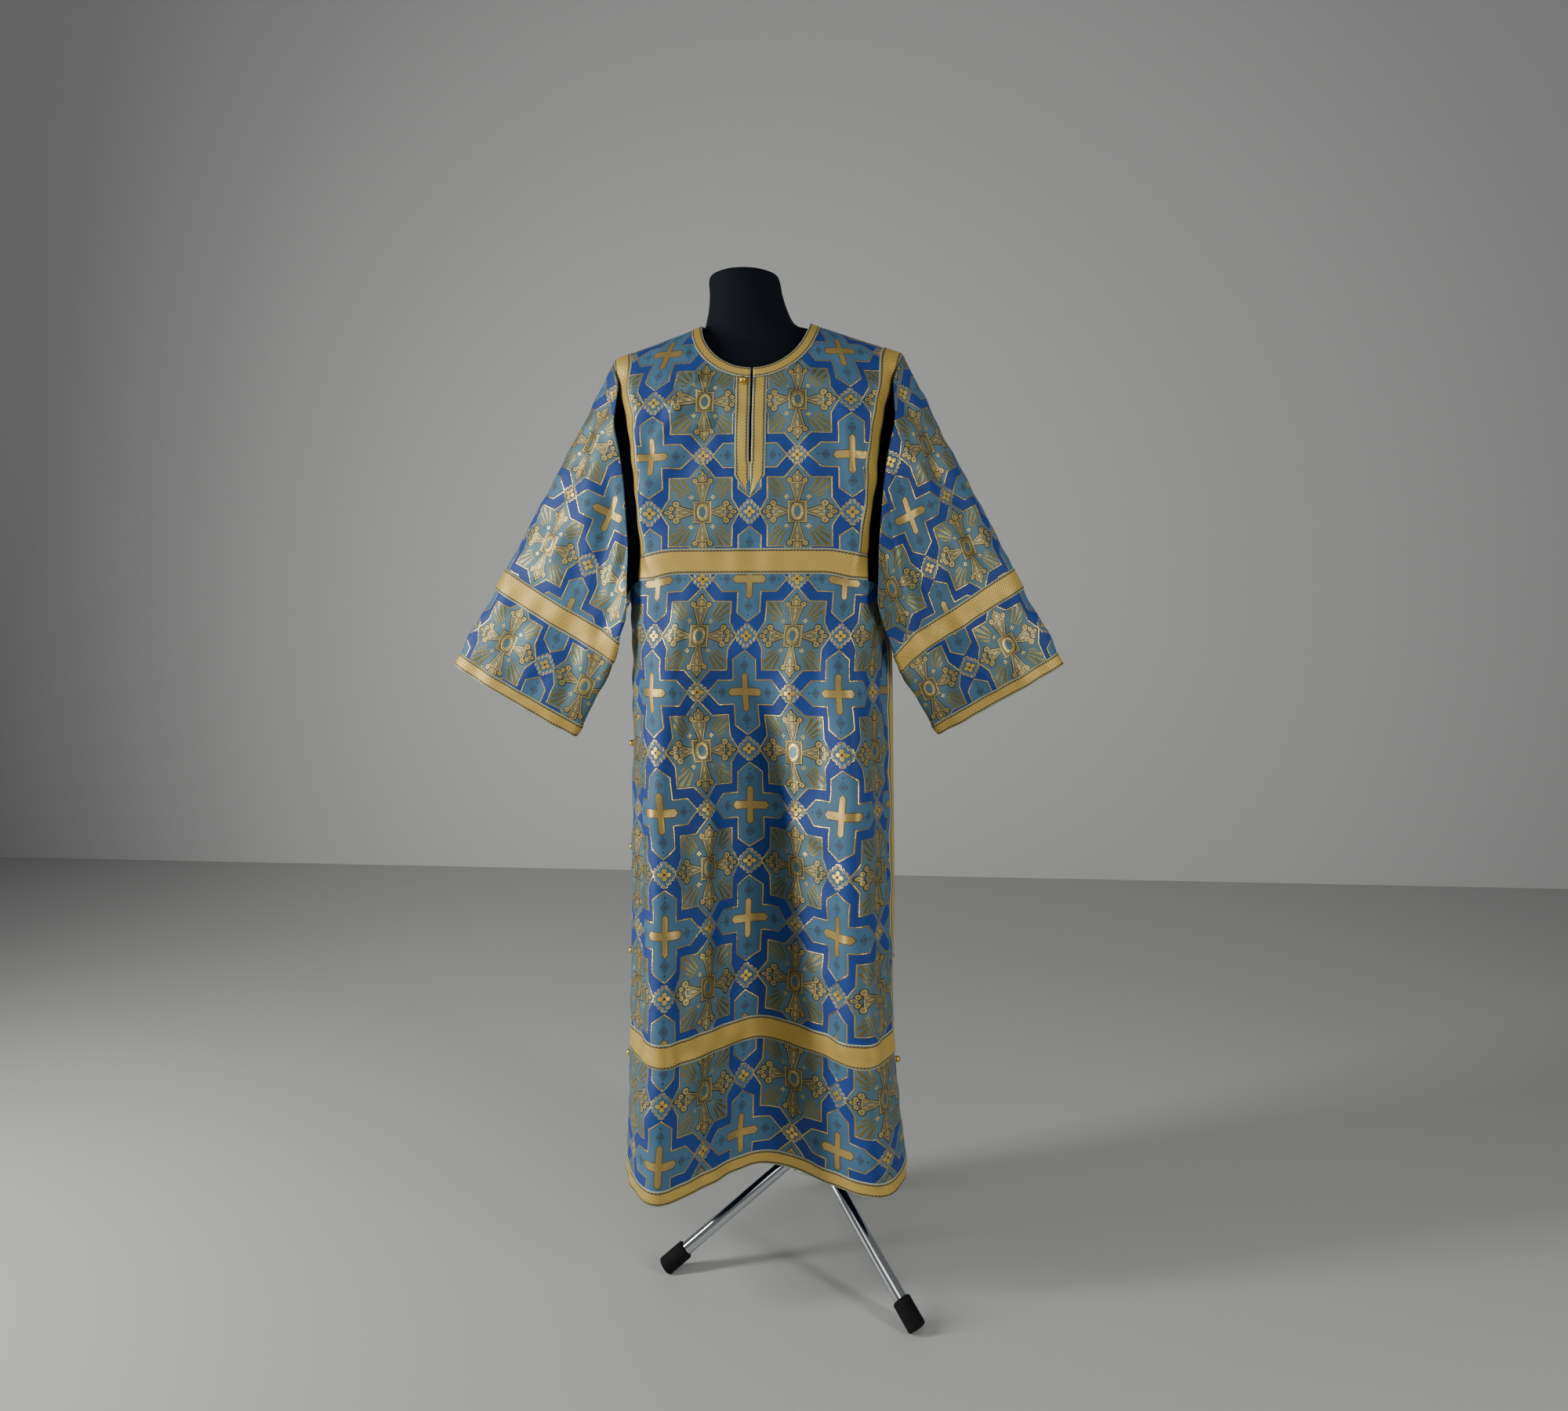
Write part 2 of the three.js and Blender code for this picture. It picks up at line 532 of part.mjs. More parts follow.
// The sleeve's edge at the armhole, from the shoulder down the front, round under the arm and up the back.
// Near the shoulder it follows the panels' own points.
function sleeveEdge(side) {
  const edgeRow = (face, i) => {
    const j = columnOf(face, side, ARMHOLE);
    const point = panels[face].points[i][j].clone();
    point.x += side * Math.max(readTable(SLEEVE_GAP, "gap", point.z), SEAM);
    return { point, normal: panels[face].normals[i][j].clone(), sewn: point.z > SLEEVE_GAP.at(-2).z };
  };
  const front = range(SHOULDER_ROW, YOKE_ROW + 1).map((i) => edgeRow("front", i));
  const back = range(YOKE_ROW + 2, SHOULDER_ROW - 1).map((i) => edgeRow("back", i));
  const under = UNDERARM.map(({ x, y, z }) => ({ point: new THREE.Vector3(side * x, y, z), sewn: false }));
  const edge = [...front, ...under, ...back];
  edge[0].point.y = 0;
  return { edge, fold: front.length + UNDERARM_POINT };
}

function sleeveGrid(side) {
  const { edge, fold } = sleeveEdge(side);
  const count = edge.length;
  const reach = [0];
  edge.forEach(({ point }, k) => reach.push(reach[k] + point.distanceTo(edge[(k + 1) % count].point)));
  const lean = side * CUFF.swing;
  const generators = edge.map(({ point, normal, sewn }, k) => {
    const front = k <= fold;
    const down = front ? reach[k] / reach[fold] : (reach[count] - reach[k]) / (reach[count] - reach[fold]);
    const end = new THREE.Vector3(
      side * (CUFF.outerX + (CUFF.lowerX - CUFF.outerX) * down),
      lean + (front ? -1 : 1) * CUFF.halfDepth * Math.sqrt(4 * down * (1 - down)),
      CUFF.outerZ + (CUFF.lowerZ - CUFF.outerZ) * down,
    );
    const length = end.distanceTo(point);
    const steps = CUFF_RINGS.map((d) => d / length);
    const rest = 1 - steps.at(-1);
    const upper = range(1, UPPER_RINGS).map((i) => steps.at(-1) + (rest * i) / UPPER_RINGS);
    const column = steps.concat(upper).map((share) => {
      const bow = SLEEVE_SAG * 4 * share * (1 - share) * easeInOut(2 * down - 1);
      return end.clone().lerp(point, share).add(new THREE.Vector3(-side * bow, 0, -bow / 4));
    });
    return { column, normal, sewn };
  });
  // Columns run so that the outside faces out on either side.
  const ordered = side > 0 ? [generators[0], ...generators.slice(1).reverse()] : generators;
  const around = [...ordered, ordered[0]];
  const points = around[0].column.map((_, i) => around.map(({ column }) => column[i].clone()));
  const normals = gridNormals(points, true);
  around.forEach(({ normal, sewn }, j) => {
    if (sewn) normals.at(-1)[j].copy(normal);
  });
  return { points, normals, closed: true };
}

function buildSleeves() {
  for (const [name, side] of [["left", -1], ["right", 1]]) {
    const sleeve = sleeveGrid(side);
    addMesh("sleeve_" + name, wallGeometry(sleeve, -CLOTH / 2, CLOTH / 2), brocade);
    const around = range(0, sleeve.points[0].length - 1);
    addGalloon("cuff_galloon_" + name, takeFrom(sleeve, [0, 1], around));
    addGalloon("sleeve_band_" + name, takeFrom(sleeve, [3, 4], around));
  }
}

// A ball button on a short shank, standing on a point of the cloth and facing along its normal.
function addButton(name, foot, normal) {
  const { radius, shank, segments } = BUTTON;
  const profile = [new THREE.Vector2(0, 0), new THREE.Vector2(radius / 2, 0)];
  const steps = 6;
  for (let i = 1; i < steps; i++) {
    const turn = -Math.PI / 2 + (Math.PI * (i + 0.3)) / (steps + 0.3);
    profile.push(new THREE.Vector2(radius * Math.cos(turn), shank + radius * (1 + Math.sin(turn))));
  }
  profile.push(new THREE.Vector2(0, shank + 2 * radius));
  const geometry = new THREE.LatheGeometry(profile, segments);
  const mesh = addMesh(name, geometry, brass);
  mesh.quaternion.setFromUnitVectors(new THREE.Vector3(0, 1, 0), normal.clone().normalize());
  mesh.position.copy(foot);
}

function buildButtons() {
  const stand = CLOTH / 2 + SEAM + GALLOON + SEAM;
  for (const [name, side] of [["left", -1], ["right", 1]]) {
    SIDE_BUTTON_Z.forEach((z, i) => {
      const row = LOWER_Z.findIndex((level) => level > z);
      const share = (z - LOWER_Z[row - 1]) / (LOWER_Z[row] - LOWER_Z[row - 1]);
      const [outer, inner] = [SIDE, SIDE - 1].map((column) => columnOf("front", side, column));
      const { points, normals } = panels.front;
      const mid = (list) => list[row - 1][outer].clone().lerp(list[row - 1][inner], 0.5)
        .lerp(list[row][outer].clone().lerp(list[row][inner], 0.5), share);
      const normal = mid(normals).normalize();
      addButton(`side_button_${name}_${i + 1}`, mid(points).addScaledVector(normal, stand + SEAM), normal);
    });
  }
  const normal = new THREE.Vector3(0, -1, 0.28).normalize();
  const { x, z } = NECK_BUTTON;
  const seat = new THREE.Vector3(x, -chestDepth("front", x, z) - SEAM, z);
  addButton("neck_button", seat.addScaledVector(normal, stand + SEAM), normal);
}

function solidOf(geometry, matrix = new THREE.Matrix4()) {
  const plain = new THREE.BufferGeometry().setAttribute("position", geometry.getAttribute("position").clone());
  if (geometry.index) plain.setIndex(geometry.index.clone());
  const merged = mergeVertices(plain.applyMatrix4(matrix), 1e-4);
  return new wasm.Manifold(
    new wasm.Mesh({
      numProp: 3,
      vertProperties: new Float32Array(merged.attributes.position.array),
      triVerts: new Uint32Array(merged.index.array),
    }),
  );
}

function geometryOf(solid) {
  const { vertProperties, triVerts } = solid.getMesh();
  const geometry = new THREE.BufferGeometry();
  geometry.setAttribute("position", new THREE.BufferAttribute(new Float32Array(vertProperties), 3));
  geometry.setIndex(new THREE.BufferAttribute(new Uint32Array(triVerts), 1));
  geometry.computeVertexNormals();
  return geometry;
}

// Places a shape that was made along +Y so that it runs from one point towards another.
function aimMatrix(from, to) {
  const direction = new THREE.Vector3().subVectors(to, from).normalize();
  const turn = new THREE.Quaternion().setFromUnitVectors(new THREE.Vector3(0, 1, 0), direction);
  return new THREE.Matrix4().compose(from, turn, new THREE.Vector3(1, 1, 1));
}

function rodSolid(from, to, radius, sides = 16) {
  const length = from.distanceTo(to);
  const rod = new THREE.CylinderGeometry(radius, radius, length, sides).translate(0, length / 2, 0);
  return solidOf(rod, aimMatrix(from, to));
}

// A closed surface through rings of points, with a flat fan at each end.
function ringsGeometry(rings) {
  const sides = rings[0].length;
  const position = rings.flat().flatMap((point) => point.toArray());
  const index = [];
  const at = (i, j) => i * sides + (j % sides);
  for (let i = 0; i < rings.length - 1; i++) {
    for (let j = 0; j < sides; j++) {
      index.push(at(i, j), at(i, j + 1), at(i + 1, j + 1), at(i, j), at(i + 1, j + 1), at(i + 1, j));
    }
  }
  for (let j = 1; j < sides - 1; j++) {
    index.push(at(0, 0), at(0, j + 1), at(0, j));
    index.push(at(rings.length - 1, 0), at(rings.length - 1, j), at(rings.length - 1, j + 1));
  }
  const geometry = new THREE.BufferGeometry();
  geometry.setAttribute("position", new THREE.Float32BufferAttribute(position, 3));
  geometry.setIndex(index);
  return geometry;
}

function formSolid() {
  const rings = FORM.map(({ z, width, front, back, square, x, y }) =>
    Array.from({ length: FORM_SIDES }, (_, j) => {
      const turn = (2 * Math.PI * j) / FORM_SIDES;
      const across = Math.sign(Math.cos(turn)) * Math.abs(Math.cos(turn)) ** (2 / square);
      const deep = Math.sign(Math.sin(turn)) * Math.abs(Math.sin(turn)) ** (2 / square);
      return new THREE.Vector3(x + width * across, y + (deep > 0 ? back : front) * deep, z);
    }),
  );
  return solidOf(ringsGeometry(rings));
}

function buildStand() {
  const hub = new THREE.Vector3(HUB.x, HUB.y, HUB.z);
  const poleTop = new THREE.Vector3(POLE.topX, 0, POLE.topZ);
  const socket = rodSolid(hub, poleTop, POLE.radius + SEAM);
  addMesh("dress_form", geometryOf(formSolid().subtract(socket)), blackForm);
  const poleEnd = poleTop.clone().lerp(hub, SEAM / poleTop.distanceTo(hub));
  addMesh("stand_pole", geometryOf(rodSolid(hub, poleEnd, POLE.radius)), chrome);
  const hubShape = new THREE.CylinderGeometry(HUB.radius * 0.8, HUB.radius, HUB.height, 20);
  const poleBottom = hub.clone().lerp(poleTop, -SEAM / hub.distanceTo(poleTop));
  let hubSolid = solidOf(hubShape.rotateX(Math.PI / 2), new THREE.Matrix4().setPosition(hub))
    .subtract(rodSolid(poleBottom, poleTop, POLE.radius + SEAM));
  const floor = new THREE.BoxGeometry(1000, 1000, 200).translate(0, 0, -100);
  LEG_TURNS.forEach((degrees, i) => {
    const turn = THREE.MathUtils.degToRad(degrees);
    const out = new THREE.Vector3(Math.cos(turn), Math.sin(turn), 0);
    const start = hub.clone().addScaledVector(out, LEG.start).setZ(HUB.z - 6);
    const foot = hub.clone().addScaledVector(out, LEG.reach).setZ(LEG.footZ);
    const seat = start.clone().lerp(foot, -SEAM / start.distanceTo(foot));
    hubSolid = hubSolid.subtract(rodSolid(seat, foot, LEG.radius + SEAM));
    addMesh(`leg_${i + 1}`, geometryOf(rodSolid(start, foot, LEG.radius)), chrome);
    const along = new THREE.Vector3().subVectors(foot, start).normalize();
    const capTop = foot.clone().addScaledVector(along, FOOT.wall * 2 - FOOT.length);
    const capEnd = foot.clone().addScaledVector(along, FOOT.wall * 2);
    const bore = foot.clone().addScaledVector(along, SEAM);
    const outside = capTop.clone().addScaledVector(along, -FOOT.length);
    const cap = rodSolid(capTop, capEnd, FOOT.radius, 20)
      .subtract(rodSolid(outside, bore, LEG.radius + SEAM))
      .subtract(solidOf(floor));
    addMesh(`rubber_foot_${i + 1}`, geometryOf(cap), rubber);
  });
  addMesh("stand_hub", geometryOf(hubSolid), chrome);
}

buildPanels();
buildTrim();
buildSleeves();
buildButtons();
buildStand();

export default part;
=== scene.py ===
import math

import bpy
import numpy as np
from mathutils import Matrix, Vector


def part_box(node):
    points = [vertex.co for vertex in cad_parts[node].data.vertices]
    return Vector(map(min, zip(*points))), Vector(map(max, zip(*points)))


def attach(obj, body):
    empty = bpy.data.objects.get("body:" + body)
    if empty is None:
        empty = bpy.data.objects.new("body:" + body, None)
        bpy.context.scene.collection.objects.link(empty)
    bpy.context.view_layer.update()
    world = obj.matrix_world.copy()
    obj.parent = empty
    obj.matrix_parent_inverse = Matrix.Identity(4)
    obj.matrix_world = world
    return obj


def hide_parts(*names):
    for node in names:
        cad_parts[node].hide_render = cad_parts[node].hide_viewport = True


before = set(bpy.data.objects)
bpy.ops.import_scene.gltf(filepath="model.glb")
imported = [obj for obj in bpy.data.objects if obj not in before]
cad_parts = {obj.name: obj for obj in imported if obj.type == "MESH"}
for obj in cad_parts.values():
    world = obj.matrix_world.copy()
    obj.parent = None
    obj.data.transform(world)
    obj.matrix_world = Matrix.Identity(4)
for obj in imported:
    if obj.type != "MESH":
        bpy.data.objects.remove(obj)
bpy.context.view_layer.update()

# All tables are in millimetres, with the middle of the garment at y = 0. toFrame moves it to its place over
# the stand.
toFrame = np.array([0.0, -29.5, 0.0])
seam = 0.3
brocadeWall = 1.2
galloonWall = 1.1
galloonLift = 0.15

garment = {
    "shoulderZ": 1476,
    "shoulderDrop": 46,
    "neckOuter": 100,
    "neckInner": 84,
    "shoulderEnd": 228,
    "neckFront": {"outer": 1380, "inner": 1396},
    "neckBack": {"outer": 1446, "inner": 1462},
    "yoke": {"low": 1083, "high": 1122},
    "lowerBand": {"low": 365, "high": 403},
    "hem": {"low": 168, "high": 192},
    "armholeDip": {"front": 25, "back": 3.75},
    "chestFade": 180,
    "climbNeck": [0, 0.17, 0.35, 0.498, 0.62, 0.72, 0.8, 0.87, 0.925, 0.965, 1],
    "climbShoulder": [0, 0.17, 0.35, 0.498, 0.63, 0.745, 0.845, 0.92, 0.97, 0.992, 1],
    "levels": [168, 192, 275, 365, 403, 480, 560, 640, 720, 800, 880, 960, 1025, 1083],
    "across": [0.0062, 0.082, 0.132, 0.182, 0.231, 0.272, 0.302, 0.335, 0.381, 0.431, 0.48, 0.53, 0.64,
               0.735, 0.83, 0.925, 1],
    "top": [1.8, 23.8, 48.5, 69.5, 85.7, 96, 99.2, 100, 124, 149, 173, 198, 228],
    "columnSteps": [5, 4, 3, 3, 3, 2, 2, 2, 3, 3, 3, 7, 6, 6, 6, 4],
    "corner": 7,
    "armhole": 12,
    "side": 16,
    "slitRow": 3,
    "rowPitch": 5.5,
    "betweenRows": 8,
    "rimRows": 5,
    "climbSteps": [11, 11, 9, 8, 7, 6, 5, 4, 3, 3],
}

# How the pattern is set on the cloth, as fitted. It jumps at the two bands, which cover the step, runs
# taller on the skirt, and on the skirt's front lies a little aside and wider, more so on the right.
chart = {
    "yokeShift": 15,
    "yokeBlend": 30,
    "skirtTop": 909,
    "skirtPace": 0.957,
    "hemShift": 22,
    "hemBlend": 16,
    "aside": 17,
    "asideOver": 180,
    "slackLeft": 0.1,
    "slackRight": 0.2,
    "slackFrom": 1000,
    "slackOver": 260,
}

# What shapes the panels' edges: the strip turned back at the armhole, the yoke's dropped ends, and the right
# slit's edges standing out.
edgeShape = {
    "turnFoot": 1075,
    "turnFootOver": 50,
    "turnTop": 1425,
    "turnTopOver": 60,
    "turnOut": 12,
    "turnBack": 15,
    "turnLip": 4,
    "dropZ": 1100,
    "dropSpread": 60,
    "drop": 9,
    "flareZ": 760,
    "flareSpread": 330,
    "flareOut": 12,
    "flarePinch": 3,
    "flareForward": 4,
}

collarbones = {"above": 1290, "from": 60, "to": 105}

chest = {
    "z": [1085, 1121, 1220, 1317, 1389, 1430, 1476],
    "width": [200, 202, 216, 235, 240, 228, 100],
    "front": [124, 125, 124, 113, 96, 80, 61],
    "back": [112, 113, 114, 110, 98, 84, 61],
    "square": [3.4, 3.3, 3, 3, 2.8, 2.5, 2.2],
}

armholeEdge = {"z": [1122, 1220, 1317, 1389, 1430], "x": [172, 183, 195, 214, 228]}

# Where each ridge and hollow of the skirt lies at four levels: left side, left ridge, middle, right ridge,
# right side, and the same round the back.
skirt = {
    "z": [168, 400, 739, 960],
    "x": [[-208, -132, 13, 187, 228, 118, -3, -138],
          [-200, -127, 8, 172, 207, 118, -4, -133],
          [-198, -134, -4, 155, 200, 122, 0, -128],
          [-198, -138, -4, 146, 199, 125, 0, -125]],
    "y": [[-8, -173, -37, -124, -2, 150, 45, 142],
          [-7, -174, -46, -150, 0, 136, 56, 128],
          [-5, -150, -56, -153, 0, 118, 80, 116],
          [-3, -130, -112, -132, 0, 104, 104, 104]],
}


# A smooth curve through the values of a table whose heights run upwards.
def readColumn(heights, values, z):
    heights = np.asarray(heights, float)
    values = np.asarray(values, float)
    z = np.clip(z, heights[0], heights[-1])
    i = np.clip(np.searchsorted(heights, z, side="right") - 1, 0, len(heights) - 2)
    slopes = np.empty_like(values)
    slopes[1:-1] = (values[2:] - values[:-2]) / (heights[2:] - heights[:-2])
    slopes[0] = (values[1] - values[0]) / (heights[1] - heights[0])
    slopes[-1] = (values[-1] - values[-2]) / (heights[-1] - heights[-2])
    step = heights[i + 1] - heights[i]
    t = (z - heights[i]) / step
    rise = t * t * (3 - 2 * t)
    bend = (t**3 - 2 * t * t + t) * step * slopes[i] + (t**3 - t * t) * step * slopes[i + 1]
    return values[i] * (1 - rise) + values[i + 1] * rise + bend


def readTable(table, column, z):
    return readColumn(table["z"], table[column], z)


# A list of values read at fractional places along it.
def readSteps(places, values):
    return np.interp(places, np.arange(len(values)), values)


def easeInOut(t):
    t = np.clip(t, 0, 1)
    return t * t * (3 - 2 * t)


# Points at shares of the way along an open line.
def alongLine(line, shares):
    steps = np.linalg.norm(np.diff(line, axis=0), axis=1)
    reach = np.concatenate([[0], np.cumsum(steps)]) / steps.sum()
    return np.stack([np.interp(shares, reach, line[:, k]) for k in range(3)], axis=-1)


def shoulderHeight(x):
    run = garment["shoulderEnd"] - garment["neckOuter"]
    return garment["shoulderZ"] - (x - garment["neckOuter"]) * garment["shoulderDrop"] / run


def chestWidth(z):
    run = garment["shoulderEnd"] - garment["neckOuter"]
    ridge = garment["neckOuter"] + (garment["shoulderZ"] - z) * run / garment["shoulderDrop"]
    return np.where(z > garment["shoulderZ"] - garment["shoulderDrop"], ridge, readTable(chest, "width", z))


def chestDepth(face, x, z):
    square = readTable(chest, "square", z)
    share = np.clip(1 - np.abs(x / chestWidth(z)) ** square, 0, None)
    return readTable(chest, face, z) * share ** (1 / square)


def chestLine(face, z):
    square = readTable(chest, "square", z)
    turn = np.linspace(0, math.pi, 241)
    sign = -1 if face == "front" else 1
    x = -np.sign(np.cos(turn)) * chestWidth(z) * np.abs(np.cos(turn)) ** (2 / square)
    y = sign * readTable(chest, face, z) * np.abs(np.sin(turn)) ** (2 / square)
    return np.stack([x, y, np.full_like(x, z)], axis=-1)


def closedCurve(points, count):
    t = np.linspace(0, len(points), count, endpoint=False)
    i = t.astype(int)
    f = (t - i)[:, None]
    p0, p1, p2, p3 = (points[(i + k) % len(points)] for k in (-1, 0, 1, 2))
    return p1 + 0.5 * f * (p2 - p0 + f * (2 * p0 - 5 * p1 + 4 * p2 - p3 + f * (3 * (p1 - p2) + p3 - p0)))


def skirtLine(face, z):
    corners = np.stack([
        [readColumn(skirt["z"], [row[k] for row in skirt["x"]], z) for k in range(8)],
        [readColumn(skirt["z"], [row[k] for row in skirt["y"]], z) for k in range(8)],
        np.full(8, z),
    ], axis=-1)
    ring = closedCurve(corners, 480)
    ring = np.concatenate([ring, ring[:1]])
    return ring[:241] if face == "front" else ring[240:][::-1]


# The level line of the garment at height z, at places from -1 on the left side seam to 1 on the right.
def levelRow(face, across, z):
    share = (across + 1) / 2
    upper = alongLine(chestLine(face, max(z, chest["z"][0])), share)
    upper[:, 2] = z
    lower = alongLine(skirtLine(face, z), share)
    return upper + (lower - upper) * easeInOut((chest["z"][0] - z) / garment["chestFade"])


def fineSteps(counts):
    places = [k + np.arange(n) / n for k, n in enumerate(counts)]
    return np.concatenate(places + [[len(counts)]])


# Normals of a grid of points, from the cells that it keeps.
def gridNormals(points, keep):
    cell = np.cross(points[1:, 1:] - points[:-1, :-1], points[1:, :-1] - points[:-1, 1:])
    cell /= np.maximum(np.linalg.norm(cell, axis=-1, keepdims=True), 1e-9)
    cell *= keep[..., None]
    total = np.zeros_like(points)
    for rows in (slice(None, -1), slice(1, None)):
        for columns in (slice(None, -1), slice(1, None)):
            total[rows, columns] += cell
    return total / np.maximum(np.linalg.norm(total, axis=-1, keepdims=True), 1e-9)


# Soft hills and hollows. Each drape runs from one place on the cloth to another, with its width and height.
def drapeHeight(u, v, drapes):
    height = np.zeros_like(u)
    for u0, v0, u1, v1, width, tall in drapes:
        run = np.array([u1 - u0, v1 - v0], float)
        t = ((u - u0) * run[0] + (v - v0) * run[1]) / (run @ run)
        along = np.clip(t, 0, 1)
        away = np.hypot(u - u0 - along * run[0], v - v0 - along * run[1])
        fade = easeInOut(2.2 * along * (1 - along) * 2) * (np.abs(t - 0.5) <= 0.5)
        height += tall * np.exp(-((away / width) ** 2)) * fade
    return height


# A gentle unevenness of the whole cloth, from a few crossed waves.
def unevenness(u, v, size):
    waves = [(0.0113, 0.0041, 0.4), (-0.0067, 0.0093, 1.9), (0.0191, -0.0072, 3.1), (0.0047, 0.0211, 5.2),
             (-0.0237, -0.0103, 0.9)]
    total = sum(np.sin(2 * math.pi * (a * u + b * v) + c) / (1 + 40 * math.hypot(a, b)) for a, b, c in waves)
    return size * total


frontDrapes = [
    (-64, 1392, -150, 1252, 11, 14),
    (-112, 1328, -158, 1238, 14, -8),
    (128, 1330, 150, 1150, 9, 6),
    (-92, 1262, -150, 1190, 13, 5),
    (-40, 1330, -112, 1205, 15, -5),
    (40, 1380, 110, 1200, 16, 4),
    (72, 1400, 150, 1290, 12, 4.5),
    (-150, 1240, -155, 1130, 11, 4),
    (160, 1230, 165, 1120, 12, 4),
    (-88, 1068, -118, 830, 17, 6.5),
    (-60, 1050, -95, 760, 16, -5),
    (76, 1070, 66, 640, 18, 5),
    (112, 1060, 108, 700, 14, -4.5),
    (-70, 830, -74, 430, 17, 6),
    (30, 820, 24, 300, 22, -4),
    (150, 900, 160, 300, 14, 5),
    (200, 1060, 214, 300, 13, -5),
    (-190, 1050, -196, 280, 14, -5),
    (236, 900, 250, 250, 12, 4),
    (-232, 760, -240, 230, 12, 4),
    (118, 620, 126, 200, 14, -4),
    (-112, 620, -120, 200, 13, -4),
]

backDrapes = [
    (-60, 1430, -110, 1210, 15, 4),
    (64, 1430, 116, 1220, 15, 4),
    (-150, 1350, -158, 1130, 13, 4),
    (150, 1350, 160, 1130, 13, 4),
    (-92, 1060, -104, 500, 17, 5),
    (96, 1060, 104, 560, 17, 5),
    (0, 1000, -6, 300, 24, -4),
    (-170, 1050, -180, 260, 14, -4),
    (172, 1040, 184, 260, 14, -4),
    (-225, 900, -238, 240, 13, 4),
    (226, 860, 240, 240, 13, 4),
]


